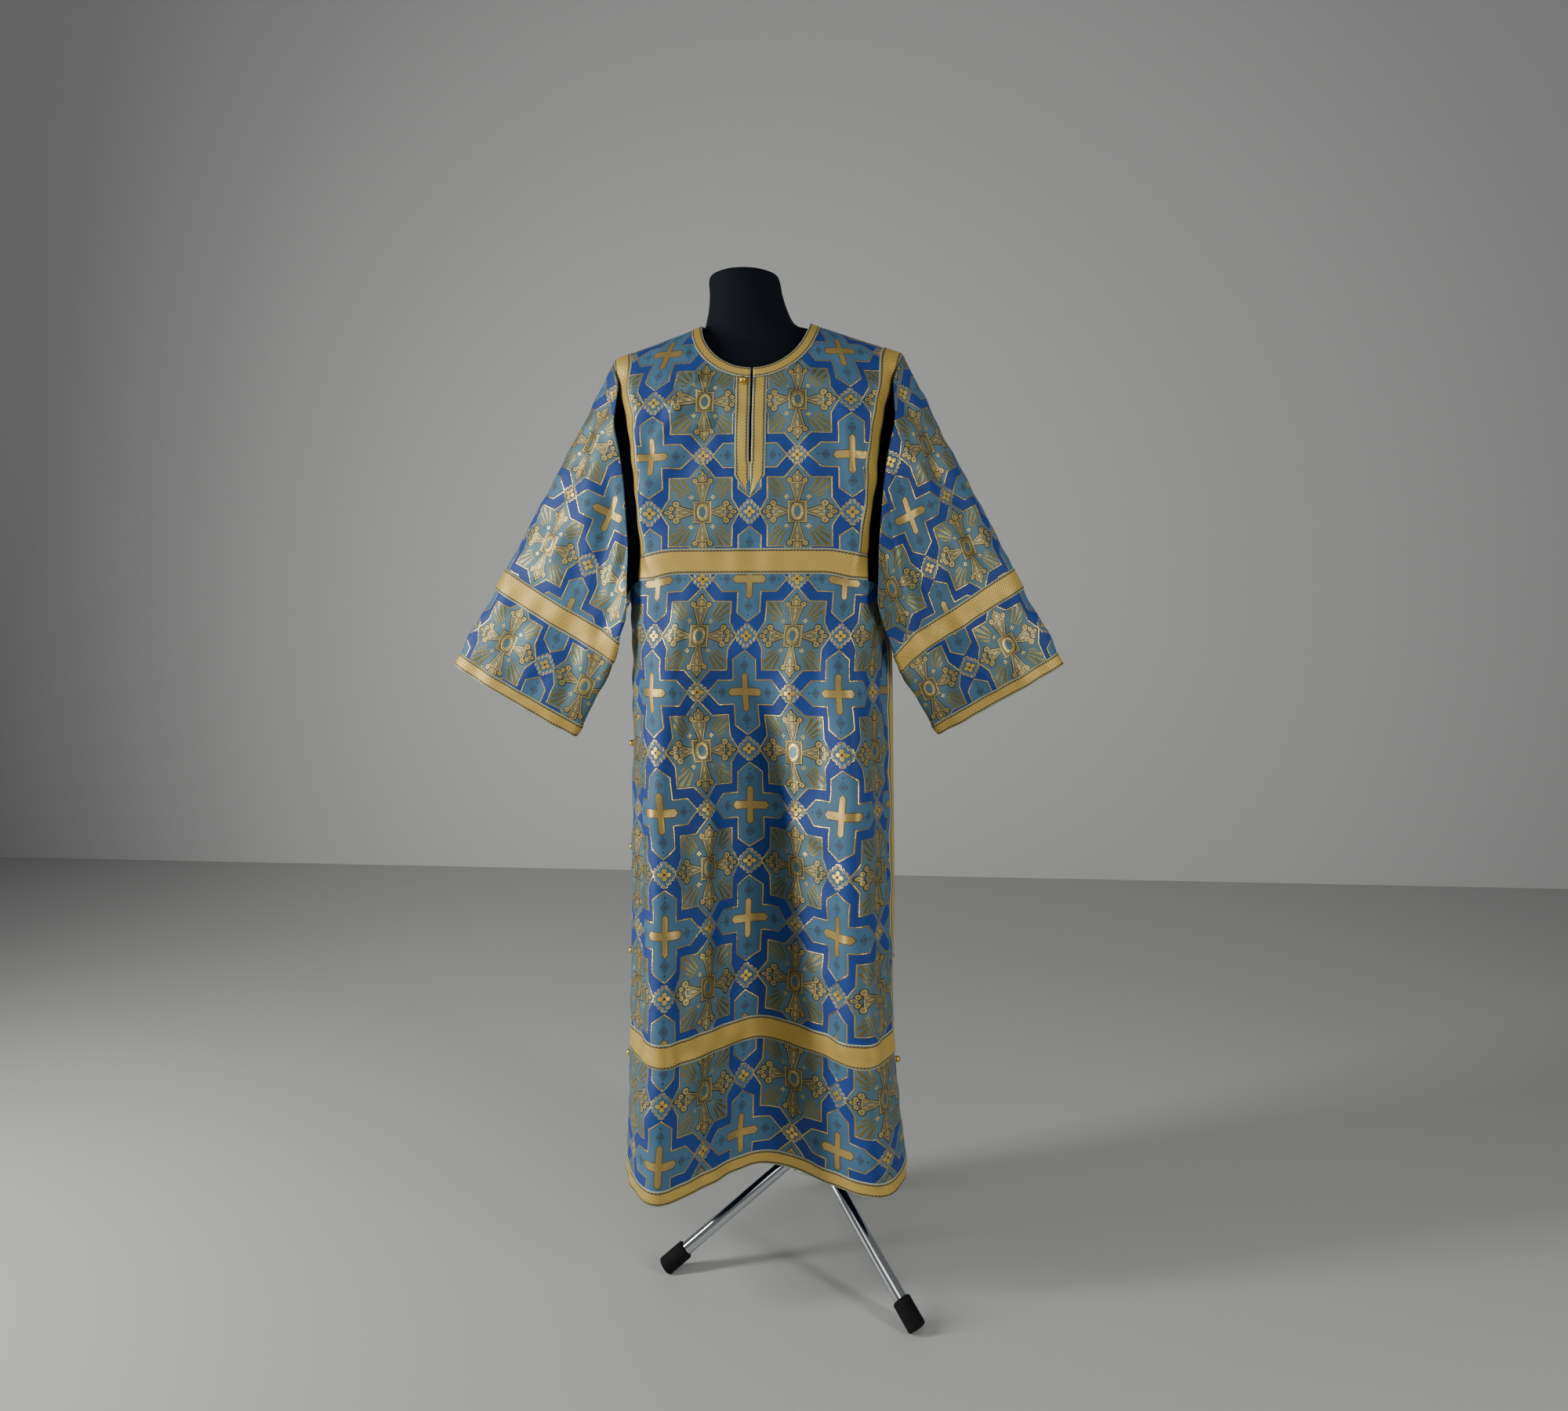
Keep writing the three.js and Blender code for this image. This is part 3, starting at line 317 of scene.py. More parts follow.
# A panel as a fine grid: rows from the hem to the neck, columns so that the outside faces out.
def panelGrid(face, drapes):
    sign = -1 if face == "front" else 1
    fine = fineSteps(garment["columnSteps"])
    column = np.concatenate([fine[::-1], fine])
    side = np.concatenate([-np.ones(len(fine)), np.ones(len(fine))]) * -sign
    across = readSteps(column, garment["across"])
    atArmhole = garment["across"][garment["armhole"]]
    dip = garment["armholeDip"][face] * np.clip((across - atArmhole) / (1 - atArmhole), 0, 1)

    levels = garment["levels"]
    counts = [max(round((b - a) / garment["rowPitch"]), 2) for a, b in zip(levels, levels[1:])]
    steps = [np.linspace(a, b, count, endpoint=False) for a, b, count in zip(levels, levels[1:], counts)]
    heights = np.concatenate(steps + [levels[-1:]])
    level = np.array([levelRow(face, across * side, z) for z in heights])
    # The last rows dip towards the armhole's foot.
    share = np.clip((heights - levels[-2]) / (levels[-1] - levels[-2]), 0, 1)
    for j in range(len(column)):
        if dip[j] > 0:
            wanted = heights - dip[j] * share
            for k in range(3):
                level[:, j, k] = np.interp(wanted, heights, level[:, j, k].copy())

    shoulder = np.minimum(column, garment["armhole"])
    foot = np.abs(levelRow(face, readSteps(shoulder, garment["across"]) * side, chest["z"][0])[:, 0])
    top = readSteps(shoulder, garment["top"])
    neckZ = garment["neckFront"] if face == "front" else garment["neckBack"]
    curve = np.sqrt(np.clip(1 - (top / garment["neckOuter"]) ** 2, 0, None))
    alongNeck = garment["shoulderZ"] - (garment["shoulderZ"] - neckZ["outer"]) * curve
    topZ = np.where(column < garment["corner"], alongNeck, shoulderHeight(top))
    towards = np.clip(column - garment["corner"], 0, 1)
    climbRows = fineSteps(garment["climbSteps"])
    yokeTop = garment["yoke"]["high"]
    narrow, wide = armholeEdge["x"][0], armholeEdge["x"][-1]
    upper = []
    for row in climbRows:
        climb = (readSteps(row, garment["climbNeck"]) * (1 - towards)
                 + readSteps(row, garment["climbShoulder"]) * towards)
        z = yokeTop + (topZ - yokeTop) * climb
        edgeZ = yokeTop + (armholeEdge["z"][-1] - yokeTop) * climb
        spread = (readTable(armholeEdge, "x", edgeZ) - narrow) / (wide - narrow)
        x = foot + (top - foot) * spread
        upper.append(np.stack([side * x, sign * (chestDepth(face, x, z) + seam / 2), z], axis=-1))
    upper = np.array(upper)
    shares = np.linspace(0, 1, garment["betweenRows"])[1:-1]
    between = [level[-1] + (upper[0] - level[-1]) * t for t in shares]

    inner = np.minimum(column, garment["corner"])
    turn = readSteps(inner, garment["top"]) / garment["neckOuter"]
    x = garment["neckInner"] * turn
    neckTop = shoulderHeight(garment["neckInner"])
    z = neckTop - (neckTop - neckZ["inner"]) * np.sqrt(np.clip(1 - turn * turn, 0, None))
    neck = np.stack([side * x, sign * (chestDepth(face, x, z) + seam / 2), z], axis=-1)
    place = np.abs(np.arange(2 * len(fine)) - len(fine) + 0.5) - 0.5
    place = np.minimum(place, np.searchsorted(fine, garment["corner"])).astype(int)
    left = np.arange(2 * len(fine)) < len(fine)
    outer = upper[-1][np.where(left, len(fine) - 1 - place, len(fine) + place)]
    rim = [outer + (neck - outer) * t for t in np.linspace(0, 1, garment["rimRows"])[1:]]

    points = np.concatenate([level, between, upper, rim])
    yokeRow = len(level) - 1
    upperRow = yokeRow + len(between) + 1
    shoulderRow = upperRow + len(upper) - 1
    slitRow = upperRow + int(np.searchsorted(climbRows, garment["slitRow"]))
    rows = np.arange(len(points) - 1)[:, None]
    widest = np.where(rows < yokeRow, garment["side"],
                      np.where(rows < shoulderRow, garment["armhole"], garment["corner"]))
    least = np.minimum(column[:-1], column[1:])[None, :]
    keep = least < widest
    if face == "front":
        keep[slitRow:, len(fine) - 1] = False
    panel = {"points": points, "keep": keep, "fine": fine, "heights": heights, "climbRows": climbRows,
             "yokeRow": yokeRow, "upperRow": upperRow, "shoulderRow": shoulderRow, "slitRow": slitRow,
             "face": face, "side": side, "column": column}
    panel["uv"] = panelUv(panel)
    panel["base"] = points.copy()
    shapeEdges(panel)
    panel["normals"] = gridNormals(points, keep)
    u, v = panel["uv"][..., 0], panel["uv"][..., 1]
    relief = drapeHeight(u, v, drapes) + unevenness(u, v, 1.1)
    relief *= easeInOut((garment["side"] - np.where(column > garment["armhole"], column, 0)) / 1.2)[None, :]
    relief *= easeInOut((shoulderRow - np.arange(len(points))) / 14)[:, None]
    # Over the form's collarbones the cloth has no room for a hollow.
    aside = np.abs(u)
    onForm = (v > collarbones["above"]) & (aside > collarbones["from"]) & (aside < collarbones["to"])
    relief = np.where(onForm, np.maximum(relief, 0), relief)
    panel["points"] = points + panel["normals"] * relief[..., None]
    panel["normals"] = gridNormals(panel["points"], keep)
    return panel


# Along the armhole the panel's last strip turns back round the body, the yoke's ends drop a little, and the
# right side slit's edges stand out towards the front.
def shapeEdges(panel):
    points, column, side = panel["points"], panel["column"], panel["side"]
    z = points[..., 2].copy()
    sign = -1 if panel["face"] == "front" else 1
    armhole, shape = garment["armhole"], edgeShape
    turned = (easeInOut((z - shape["turnFoot"]) / shape["turnFootOver"])
              * easeInOut((shape["turnTop"] - z) / shape["turnTopOver"]))
    beside = np.clip(armhole - column, 0, 1)
    points[..., 0] += side * shape["turnOut"] * turned * easeInOut((column - 5) / 6) * beside
    points[..., 1] -= sign * shape["turnBack"] * turned * np.clip(column - 11, 0, 1) ** 1.2
    points[..., 1] += sign * shape["turnLip"] * turned * easeInOut((column - 7) / 4) * beside
    nearYoke = np.exp(-(((z - shape["dropZ"]) / shape["dropSpread"]) ** 2))
    points[..., 2] -= shape["drop"] * easeInOut((np.minimum(column, armhole) - 8) / 4) * nearYoke
    flare = np.exp(-(((z - shape["flareZ"]) / shape["flareSpread"]) ** 4)) * (side > 0)
    pinch = shape["flarePinch"] * np.exp(-(((column - 14.3) / 0.6) ** 2))
    points[..., 0] += flare * (shape["flareOut"] * easeInOut((column - 14.2) / 1.8) - pinch)
    points[..., 1] += flare * sign * -shape["flareForward"] * easeInOut((column - 14.6) / 1.4)


# Where each point of a panel lies on the flat cloth, in millimetres from the centre and from the floor.
def panelUv(panel):
    points = panel["points"]
    middle = len(panel["fine"])
    step = np.linalg.norm(np.diff(points[..., :2], axis=1), axis=-1)
    along = np.concatenate([np.zeros((len(points), 1)), np.cumsum(step, axis=1)], axis=1)
    u = along - (along[:, middle - 1:middle] + along[:, middle:middle + 1]) / 2
    climb = np.hypot(np.diff(points[..., 1], axis=0), np.diff(points[..., 2], axis=0))
    climb[:panel["yokeRow"]] = np.diff(points[:panel["yokeRow"] + 1, :, 2], axis=0)
    v = np.concatenate([points[:1, :, 2], points[:1, :, 2] + np.cumsum(climb, axis=0)])
    v -= chart["yokeShift"] * easeInOut((v - garment["yoke"]["low"]) / chart["yokeBlend"])
    skirtTop = chart["skirtTop"]
    v = np.where(v < skirtTop, skirtTop + (v - skirtTop) * chart["skirtPace"], v)
    v -= chart["hemShift"] * easeInOut((garment["lowerBand"]["high"] - v) / chart["hemBlend"])
    if panel["face"] == "front":
        ease = easeInOut((garment["yoke"]["low"] - v) / chart["asideOver"])
        u = u + chart["aside"] * ease
        slack = np.where(u > 0, chart["slackRight"], chart["slackLeft"])
        u = u * (1 - ease * slack * easeInOut((chart["slackFrom"] - v) / chart["slackOver"]))
    return np.stack([u, v], axis=-1)


def columnAt(panel, side, column):
    place = np.searchsorted(panel["fine"], column - 1e-6)
    middle = len(panel["fine"])
    toRight = (side > 0) == (panel["face"] == "front")
    return middle + place if toRight else middle - 1 - place


def rowAt(panel, z):
    return int(np.searchsorted(panel["heights"], z - 1e-6))


def addToScene(name, data):
    thing = bpy.data.objects.new(name, data)
    bpy.context.scene.collection.objects.link(thing)
    return thing


# A closed thin wall over a grid: the outside at far from its points and the inside at near.
def wallMesh(name, grid, near, far, materials, keep=None):
    points, normals, uv = grid["points"], grid["normals"], grid["uv"]
    rows, columns = points.shape[:2]
    keep = np.ones((rows - 1, columns - 1), bool) if keep is None else keep
    closed = grid.get("closed", False)
    near = np.broadcast_to(near, (rows, columns))[..., None]
    far = np.broadcast_to(far, (rows, columns))[..., None]
    outer, inner = points + normals * far, points + normals * near
    place = np.concatenate([outer.reshape(-1, 3), inner.reshape(-1, 3)])
    uvs = np.concatenate([uv.reshape(-1, 2)] * 2) / 1000
    index = np.arange(rows * columns).reshape(rows, columns)
    a, b, c, d = index[:-1, :-1], index[:-1, 1:], index[1:, 1:], index[1:, :-1]
    lower = rows * columns
    outside = np.stack([a, b, c, d], axis=-1)[keep]
    inside = np.stack([a, d, c, b], axis=-1)[keep] + lower
    padded = np.pad(keep, 1)
    if closed:
        padded[:, 0] = padded[:, -2]
        padded[:, -1] = padded[:, 1]
    rims = []
    for first, second, beside in (
        (a, b, padded[:-2, 1:-1]),
        (c, d, padded[2:, 1:-1]),
        (d, a, padded[1:-1, :-2]),
        (b, c, padded[1:-1, 2:]),
    ):
        open_ = keep & ~beside
        rims.append(np.stack([second, first, first + lower, second + lower], axis=-1)[open_])
    faces = np.concatenate([outside, inside] + rims)
    faceUv = uvs[faces]
    if closed:
        again = np.concatenate([index[:, -1], index[:, -1] + lower])
        first = np.concatenate([index[:, 0], index[:, 0] + lower])
        swap = np.arange(2 * lower)
        swap[again] = first
        faces = swap[faces]
    used, faces = np.unique(faces, return_inverse=True)
    faces = faces.reshape(-1, 4)
    mesh = bpy.data.meshes.new(name)
    mesh.from_pydata(((place[used] + toFrame) / 1000).tolist(), [], faces.tolist())
    layer = mesh.uv_layers.new(name="cloth")
    layer.data.foreach_set("uv", faceUv.reshape(-1).astype(np.float32))
    for material in materials:
        mesh.materials.append(material)
    if len(materials) > 1:
        which = np.zeros(len(faces), np.int32)
        which[len(outside):] = 1
        mesh.polygons.foreach_set("material_index", which)
    mesh.polygons.foreach_set("use_smooth", np.ones(len(faces), bool))
    mesh.validate()
    return addToScene(name, mesh)


# Part of a grid at fractional rows and columns, drawn in by the seam at its open ends.
def takeFrom(grid, rows, columns, gap=seam):
    def pick(values):
        count = values.shape[:2]
        i = np.clip(np.floor(rows).astype(int), 0, count[0] - 2)
        j = np.clip(np.floor(columns).astype(int), 0, count[1] - 2)
        fi = (rows - i)[:, None, None]
        fj = (columns - j)[None, :, None]
        near = values[i][:, j] * (1 - fj) + values[i][:, j + 1] * fj
        far = values[i + 1][:, j] * (1 - fj) + values[i + 1][:, j + 1] * fj
        return near * (1 - fi) + far * fi

    points = pick(grid["points"])
    normals = pick(grid["normals"])
    normals /= np.maximum(np.linalg.norm(normals, axis=-1, keepdims=True), 1e-9)

    def drawIn(edge, beside):
        away = beside - edge
        return edge + away * gap / np.maximum(np.linalg.norm(away, axis=-1, keepdims=True), 1e-6)

    points[0], points[-1] = drawIn(points[0], points[1]), drawIn(points[-1], points[-2])
    closed = grid.get("closed", False)
    if not closed:
        first, last = drawIn(points[:, 0], points[:, 1]), drawIn(points[:, -1], points[:, -2])
        points[:, 0], points[:, -1] = first, last
    return {"points": points, "normals": normals, "uv": pick(grid["uv"]), "closed": closed}


# Millimetres along a ribbon and across it from its middle line, with its edges at the braid's half width.
# The ribbon runs along its columns or its rows.
def ribbonUv(strip, alongColumns, halfWidth):
    points = strip["points"]
    if not alongColumns:
        points = points.transpose(1, 0, 2)
    middle = (points[0] + points[-1]) / 2
    along = np.concatenate([[0], np.cumsum(np.linalg.norm(np.diff(middle, axis=0), axis=-1))])
    steps = np.linalg.norm(np.diff(points, axis=0), axis=-1)
    across = np.concatenate([np.zeros((1, points.shape[1])), np.cumsum(steps, axis=0)])
    across = (across / across[-1:] * 2 - 1) * halfWidth
    uv = np.stack([np.broadcast_to(along, across.shape), across], axis=-1)
    strip["uv"] = uv if alongColumns else uv.transpose(1, 0, 2)
    return strip


# A ribbon sewn flat on a panel: its selvedges lie down and its middle stands up by its thickness.
def ribbonPiece(name, strip, alongColumns, braid, lift=galloonLift):
    material, halfWidth = braid
    strip = ribbonUv(strip, alongColumns, halfWidth)
    across = np.abs(strip["uv"][..., 1])
    edge = across.max(axis=0 if alongColumns else 1, keepdims=True) - across
    rise = easeInOut(0.35 + 0.65 * np.clip(edge / 1.6, 0, 1))
    base = brocadeWall / 2 + lift
    return wallMesh(name, strip, base, base + galloonWall * rise, [material])


# Places across a ribbon, closer together at its two edges.
def ribbonPlaces(start, end, count):
    share = np.concatenate([[0, 0.02, 0.05], np.linspace(0.1, 0.9, count), [0.95, 0.98, 1]])
    return start + (end - start) * share


sleeveTable = {
    "gapZ": [1122, 1220, 1280, 1325, 1353, 1376, 1430],
    "gap": [17, 13, 16, 19, 9, 0.3, 0.3],
    "underarm": [(190, -104, 1078), (190, -104, 1036), (204, -62, 1044), (209, -10, 1062), (209, 40, 1074),
                 (196, 84, 1092)],
    "cuff": {"outerX": 484, "outerZ": 945, "lowerX": 288, "lowerZ": 833, "halfDepth": 20, "swing": 42},
    "galloon": 23,
    "band": (137, 175),
    "sag": 12,
    "columnsPerStep": 6,
    "patternStart": 751.3,
}

sleeveDrapes = {
    "left": [
        (-60, 470, -150, 200, 16, 3), (-120, 400, -176, 190, 13, -4), (-176, 330, -196, 60, 14, 3.5),
        (-30, 330, -96, 30, 22, -3), (-110, 150, -128, 4, 15, 2.5), (-180, 120, -190, 2, 12, -2.5),
        (60, 420, 150, 120, 18, 3), (120, 330, 190, 40, 16, -3),
    ],
    "right": [
        (-70, 450, -150, 200, 15, 3), (-132, 420, -168, 170, 13, 5), (-156, 400, -196, 200, 10, -5),
        (-40, 300, -90, 20, 22, -3), (-120, 170, -132, 4, 14, 2.5), (-172, 150, -186, 2, 12, -2.5),
        (60, 420, 150, 120, 18, 3), (120, 330, 190, 40, 16, -3),
    ],
}


# The sleeve's edge at the armhole, from the shoulder down the front, under the arm and up behind.
def sleeveEdge(panels, side):
    def rowsOf(face, places, closeness):
        panel = panels[face]
        column = panel["base"][:, columnAt(panel, side, garment["armhole"])]
        rows = panel["upperRow"] + np.searchsorted(panel["climbRows"], np.asarray(places) - 1e-6)
        points = column[rows].copy()
        gap = np.interp(points[:, 2], sleeveTable["gapZ"], sleeveTable["gap"]) * closeness
        points[:, 0] += side * np.maximum(gap, seam)
        return points

    front = rowsOf("front", range(10, -1, -1), 1)
    front[0, 1] = 0
    under = np.array([(side * x, y, z) for x, y, z in sleeveTable["underarm"]], float)
    back = rowsOf("back", range(1, 10), 0.35)
    return np.concatenate([front, under, back]), len(front) + 1


def sleeveGrid(panels, name, side):
    edge, fold = sleeveEdge(panels, side)
    steps = sleeveTable["columnsPerStep"]
    edge = closedCurve(edge, steps * len(edge))
    edge[0, 1] = 0
    fold *= steps
    count = len(edge)
    reach = np.concatenate([[0], np.cumsum(np.linalg.norm(np.roll(edge, -1, axis=0) - edge, axis=1))])
    cuff = sleeveTable["cuff"]
    front = np.arange(count) <= fold
    down = np.where(front, reach[:-1] / reach[fold], (reach[-1] - reach[:-1]) / (reach[-1] - reach[fold]))
    end = np.stack([
        side * (cuff["outerX"] + (cuff["lowerX"] - cuff["outerX"]) * down),
        side * cuff["swing"] + np.where(front, -1, 1) * cuff["halfDepth"] * np.sqrt(4 * down * (1 - down)),
        cuff["outerZ"] + (cuff["lowerZ"] - cuff["outerZ"]) * down,
    ], axis=-1)
    length = np.linalg.norm(edge - end, axis=1)
    inner = sleeveTable["band"][1]
    first = np.linspace(0, inner, 36)[:, None] / length
    rest = inner / length + (1 - inner / length) * np.linspace(0, 1, 66)[1:, None]
    share = np.concatenate([first, rest])
    bow = sleeveTable["sag"] * 4 * share * (1 - share) * easeInOut(2 * down - 1)
    points = end + (edge - end) * share[..., None]
    points = points + np.stack([-side * bow, np.zeros_like(bow), -bow / 4], axis=-1)
    order = np.arange(count)
    if side > 0:
        order = np.concatenate([[0], order[:0:-1]])
    order = np.concatenate([order, order[:1]])
    points = points[:, order]
    front = front[order]
    top = points[:, 0]
    along = top[-1] - top[0]
    along /= np.linalg.norm(along)
    v = (points - top[0]) @ along
    u = np.linalg.norm(points - top[0] - v[..., None] * along, axis=-1) * np.where(front, -1, 1)
    grid = {"points": points, "uv": np.stack([u, v], axis=-1), "closed": True}
    keep = np.ones((points.shape[0] - 1, points.shape[1] - 1), bool)

    def closedNormals(points):
        wide = np.concatenate([points[:, -2:-1], points, points[:, 1:2]], axis=1)
        return gridNormals(wide, np.pad(keep, ((0, 0), (1, 1)), mode="edge"))[:, 1:-1]

    normals = closedNormals(points)
    relief = drapeHeight(u, v, sleeveDrapes[name]) + unevenness(u + 300, v + 900, 1.2)
    relief *= easeInOut((1 - share[:, order]) / 0.12)
    grid["points"] = points + normals * relief[..., None]
    grid["normals"] = closedNormals(grid["points"])
    grid["share"] = share[:, order]
    grid["length"] = length[order]
    return grid


def fromHex(code):
    channels = [int(code[i:i + 2], 16) / 255 for i in (1, 3, 5)]
    return [c / 12.92 if c <= 0.04045 else ((c + 0.055) / 1.055) ** 2.4 for c in channels] + [1.0]


def addNode(tree, kind, inputs=(), **settings):
    node = tree.nodes.new(kind)
    for key, value in settings.items():
        setattr(node, key, value)
    for key, value in dict(inputs).items():
        if isinstance(value, bpy.types.NodeSocket):
            tree.links.new(value, node.inputs[key])
        else:
            node.inputs[key].default_value = value
    return node


def newMaterial(name):
    material = bpy.data.materials.new(name)
    material.use_nodes = True
    material.node_tree.nodes.clear()
    return material, material.node_tree


def finishMaterial(tree, inputs):
    surface = addNode(tree, "ShaderNodeBsdfPrincipled", inputs)
    addNode(tree, "ShaderNodeOutputMaterial", {"Surface": surface.outputs[0]})


# Drawing with distances: each shape is a value below 0 inside it, in millimetres.
class Drawing:
    def __init__(self, tree):
        self.tree = tree

    def calc(self, operation, *values):
        return addNode(self.tree, "ShaderNodeMath", dict(enumerate(values)), operation=operation).outputs[0]

    def add(self, a, b):
        return self.calc("ADD", a, b)

    def less(self, a, b):
        return self.calc("SUBTRACT", a, b)

    def times(self, a, b):
        return self.calc("MULTIPLY", a, b)

    def inside(self, first, *others):
        for other in others:
            first = self.calc("MAXIMUM", first, other)
        return first

    def either(self, first, *others):
        for other in others:
            first = self.calc("MINIMUM", first, other)
        return first

    # Beyond the line a x + b y = c.
    def past(self, x, y, a, b, c):
        size = math.hypot(a, b)
        return self.calc("MULTIPLY_ADD", x, a / size, self.calc("MULTIPLY_ADD", y, b / size, -c / size))

    def length(self, x, y):
        return self.calc("SQRT", self.calc("MULTIPLY_ADD", x, x, self.times(y, y)))

    def oval(self, x, y, cx, cy, rx, ry):
        across = self.calc("MULTIPLY_ADD", x, 1 / rx, -cx / rx)
        up = self.calc("MULTIPLY_ADD", y, 1 / ry, -cy / ry)
        return self.calc("MULTIPLY_ADD", self.length(across, up), min(rx, ry), -min(rx, ry))

    def diamond(self, x, y, cx, cy, rx, ry):
        across = self.calc("ABSOLUTE", self.less(x, cx))
        up = self.calc("ABSOLUTE", self.less(y, cy))
        return self.past(across, up, 1 / rx, 1 / ry, 1)

    def ovals(self, x, y, places):
        return self.either(*(self.oval(x, y, *place) for place in places))

    # A line of a given half width along the edge of a shape.
    def edge(self, shape, half):
        return self.less(self.calc("ABSOLUTE", shape), half)

    # 1 inside a shape and 0 outside it.
    def mask(self, shape, blur=0.5):
        return addNode(self.tree, "ShaderNodeMapRange",
                       {"Value": shape, "From Min": blur / 2, "From Max": -blur / 2}).outputs[0]

    # The colour under, with each hex colour painted over it where its mask is 1.
    def paint(self, under, *coats):
        for over, mask in coats:
            inputs = {0: mask, 6: under, 7: fromHex(over)}
            under = addNode(self.tree, "ShaderNodeMix", inputs, data_type="RGBA").outputs[2]
        return under


brocadeLook = {
    "repeat": (141.0, 168.7),
    "crossHeight": 739.0,
    "royal": "#1A3B82",
    "panel": "#416884",
    "corner": "#51707F",
    "taupe": "#7E7B62",
    "rays": "#7C7448",
    "dark": "#4E4022",
    "gold": "#D4B764",
    "goldCross": "#AC9358",
    "brown": "#4C3818",
    "gem": "#274A66",
    "outline": 0.62,
    "threads": 0.62,
}

# The motifs in millimetres. The medallion and all from the pocket on are counted from a medallion's middle,
# knots and flowers from their own, and the rest from a cross's. An arm is its half width and the line
# a x + b y = c that ends it, an oval its middle and its two radii.
motifs = {
    "panel": [(17, (0.79, 1, 63)), (18.3, (1, 0.86, 55.6))],
    "medallion": [(19.1, (1.15, 1, 73)), (20.3, (1, 0.58, 56))],
    "medallionBox": (44.2, 51),
    "cross": [(4.4, (1, 1, 30)), (6, (1, 0.7, 25))],
    "knot": {"pitch": 4.6, "crest": 3.2, "soft": 1.5, "swing": -0.9, "across": 15.5, "up": 17.5},
    "petal": (0.72, 0.6),
    "flowers": (5.4, 5.0),
    "flowerEye": (0, 0, 1.9, 1.9),
    "gemUp": (0, 40, 5.8, 8.1),
    "gemAcross": (33.6, 0, 5.2, 7.3),
    "gemPetal": 1.9,
    "beads": [(0, 53.3, 1.5, 1.5), (43.6, 0, 1.5, 1.5)],
    "pocket": (17.6, 25.2, 9.6, 9.6),
    "upright": {"side": (1, -0.3, -1.2), "end": 44,
                "curls": [(11.4, 46.4, 4.4, 4.2), (0, 50.5, 7.4, 7), (0, 57.5, 2.4, 4.4)]},
    "level": {"side": (1, -0.4, -2.5), "end": 36,
              "curls": [(35.6, 12.4, 5, 5), (42, 6, 4, 4.4), (46.5, 0, 5.6, 3.6)]},
    "box": (13.6, 16.6),
    "rings": [((11.0, 46.6, 2.0, 1.9), 0.55), ((35.4, 12.6, 2.4, 2.4), 0.55), ((41.8, 6.2, 1.7, 1.9), 0.5)],
    "ribAcross": 13.0,
    "leaves": [(0, 49.5, 2.6, 3.6), (5.4, 44, 1.2, 3.2), (0, 38, 1.8, 4.6), (0, 27, 1.1, 4.2),
               (38, 0, 4.6, 1.9), (31, 4.6, 3.6, 1.1), (24.5, 0, 4.2, 1.2)],
    "bead": (0, 0, 10.9, 15.4),
    "beadRing": (0, 0, 7, 10.4),
    "beadEye": (0, 0, 4.4, 7.4),
    "star": {"x": 15.9, "y": 22, "size": 2.0},
    "fan": {"x": 10, "y": 14, "rays": 22, "pitch": 2.4, "ray": 1.5, "wide": 42, "tall": 49,
            "sides": [(-1, -1, -47), (1, -0.85, 14), (-1.9, 1, 3)]},
}


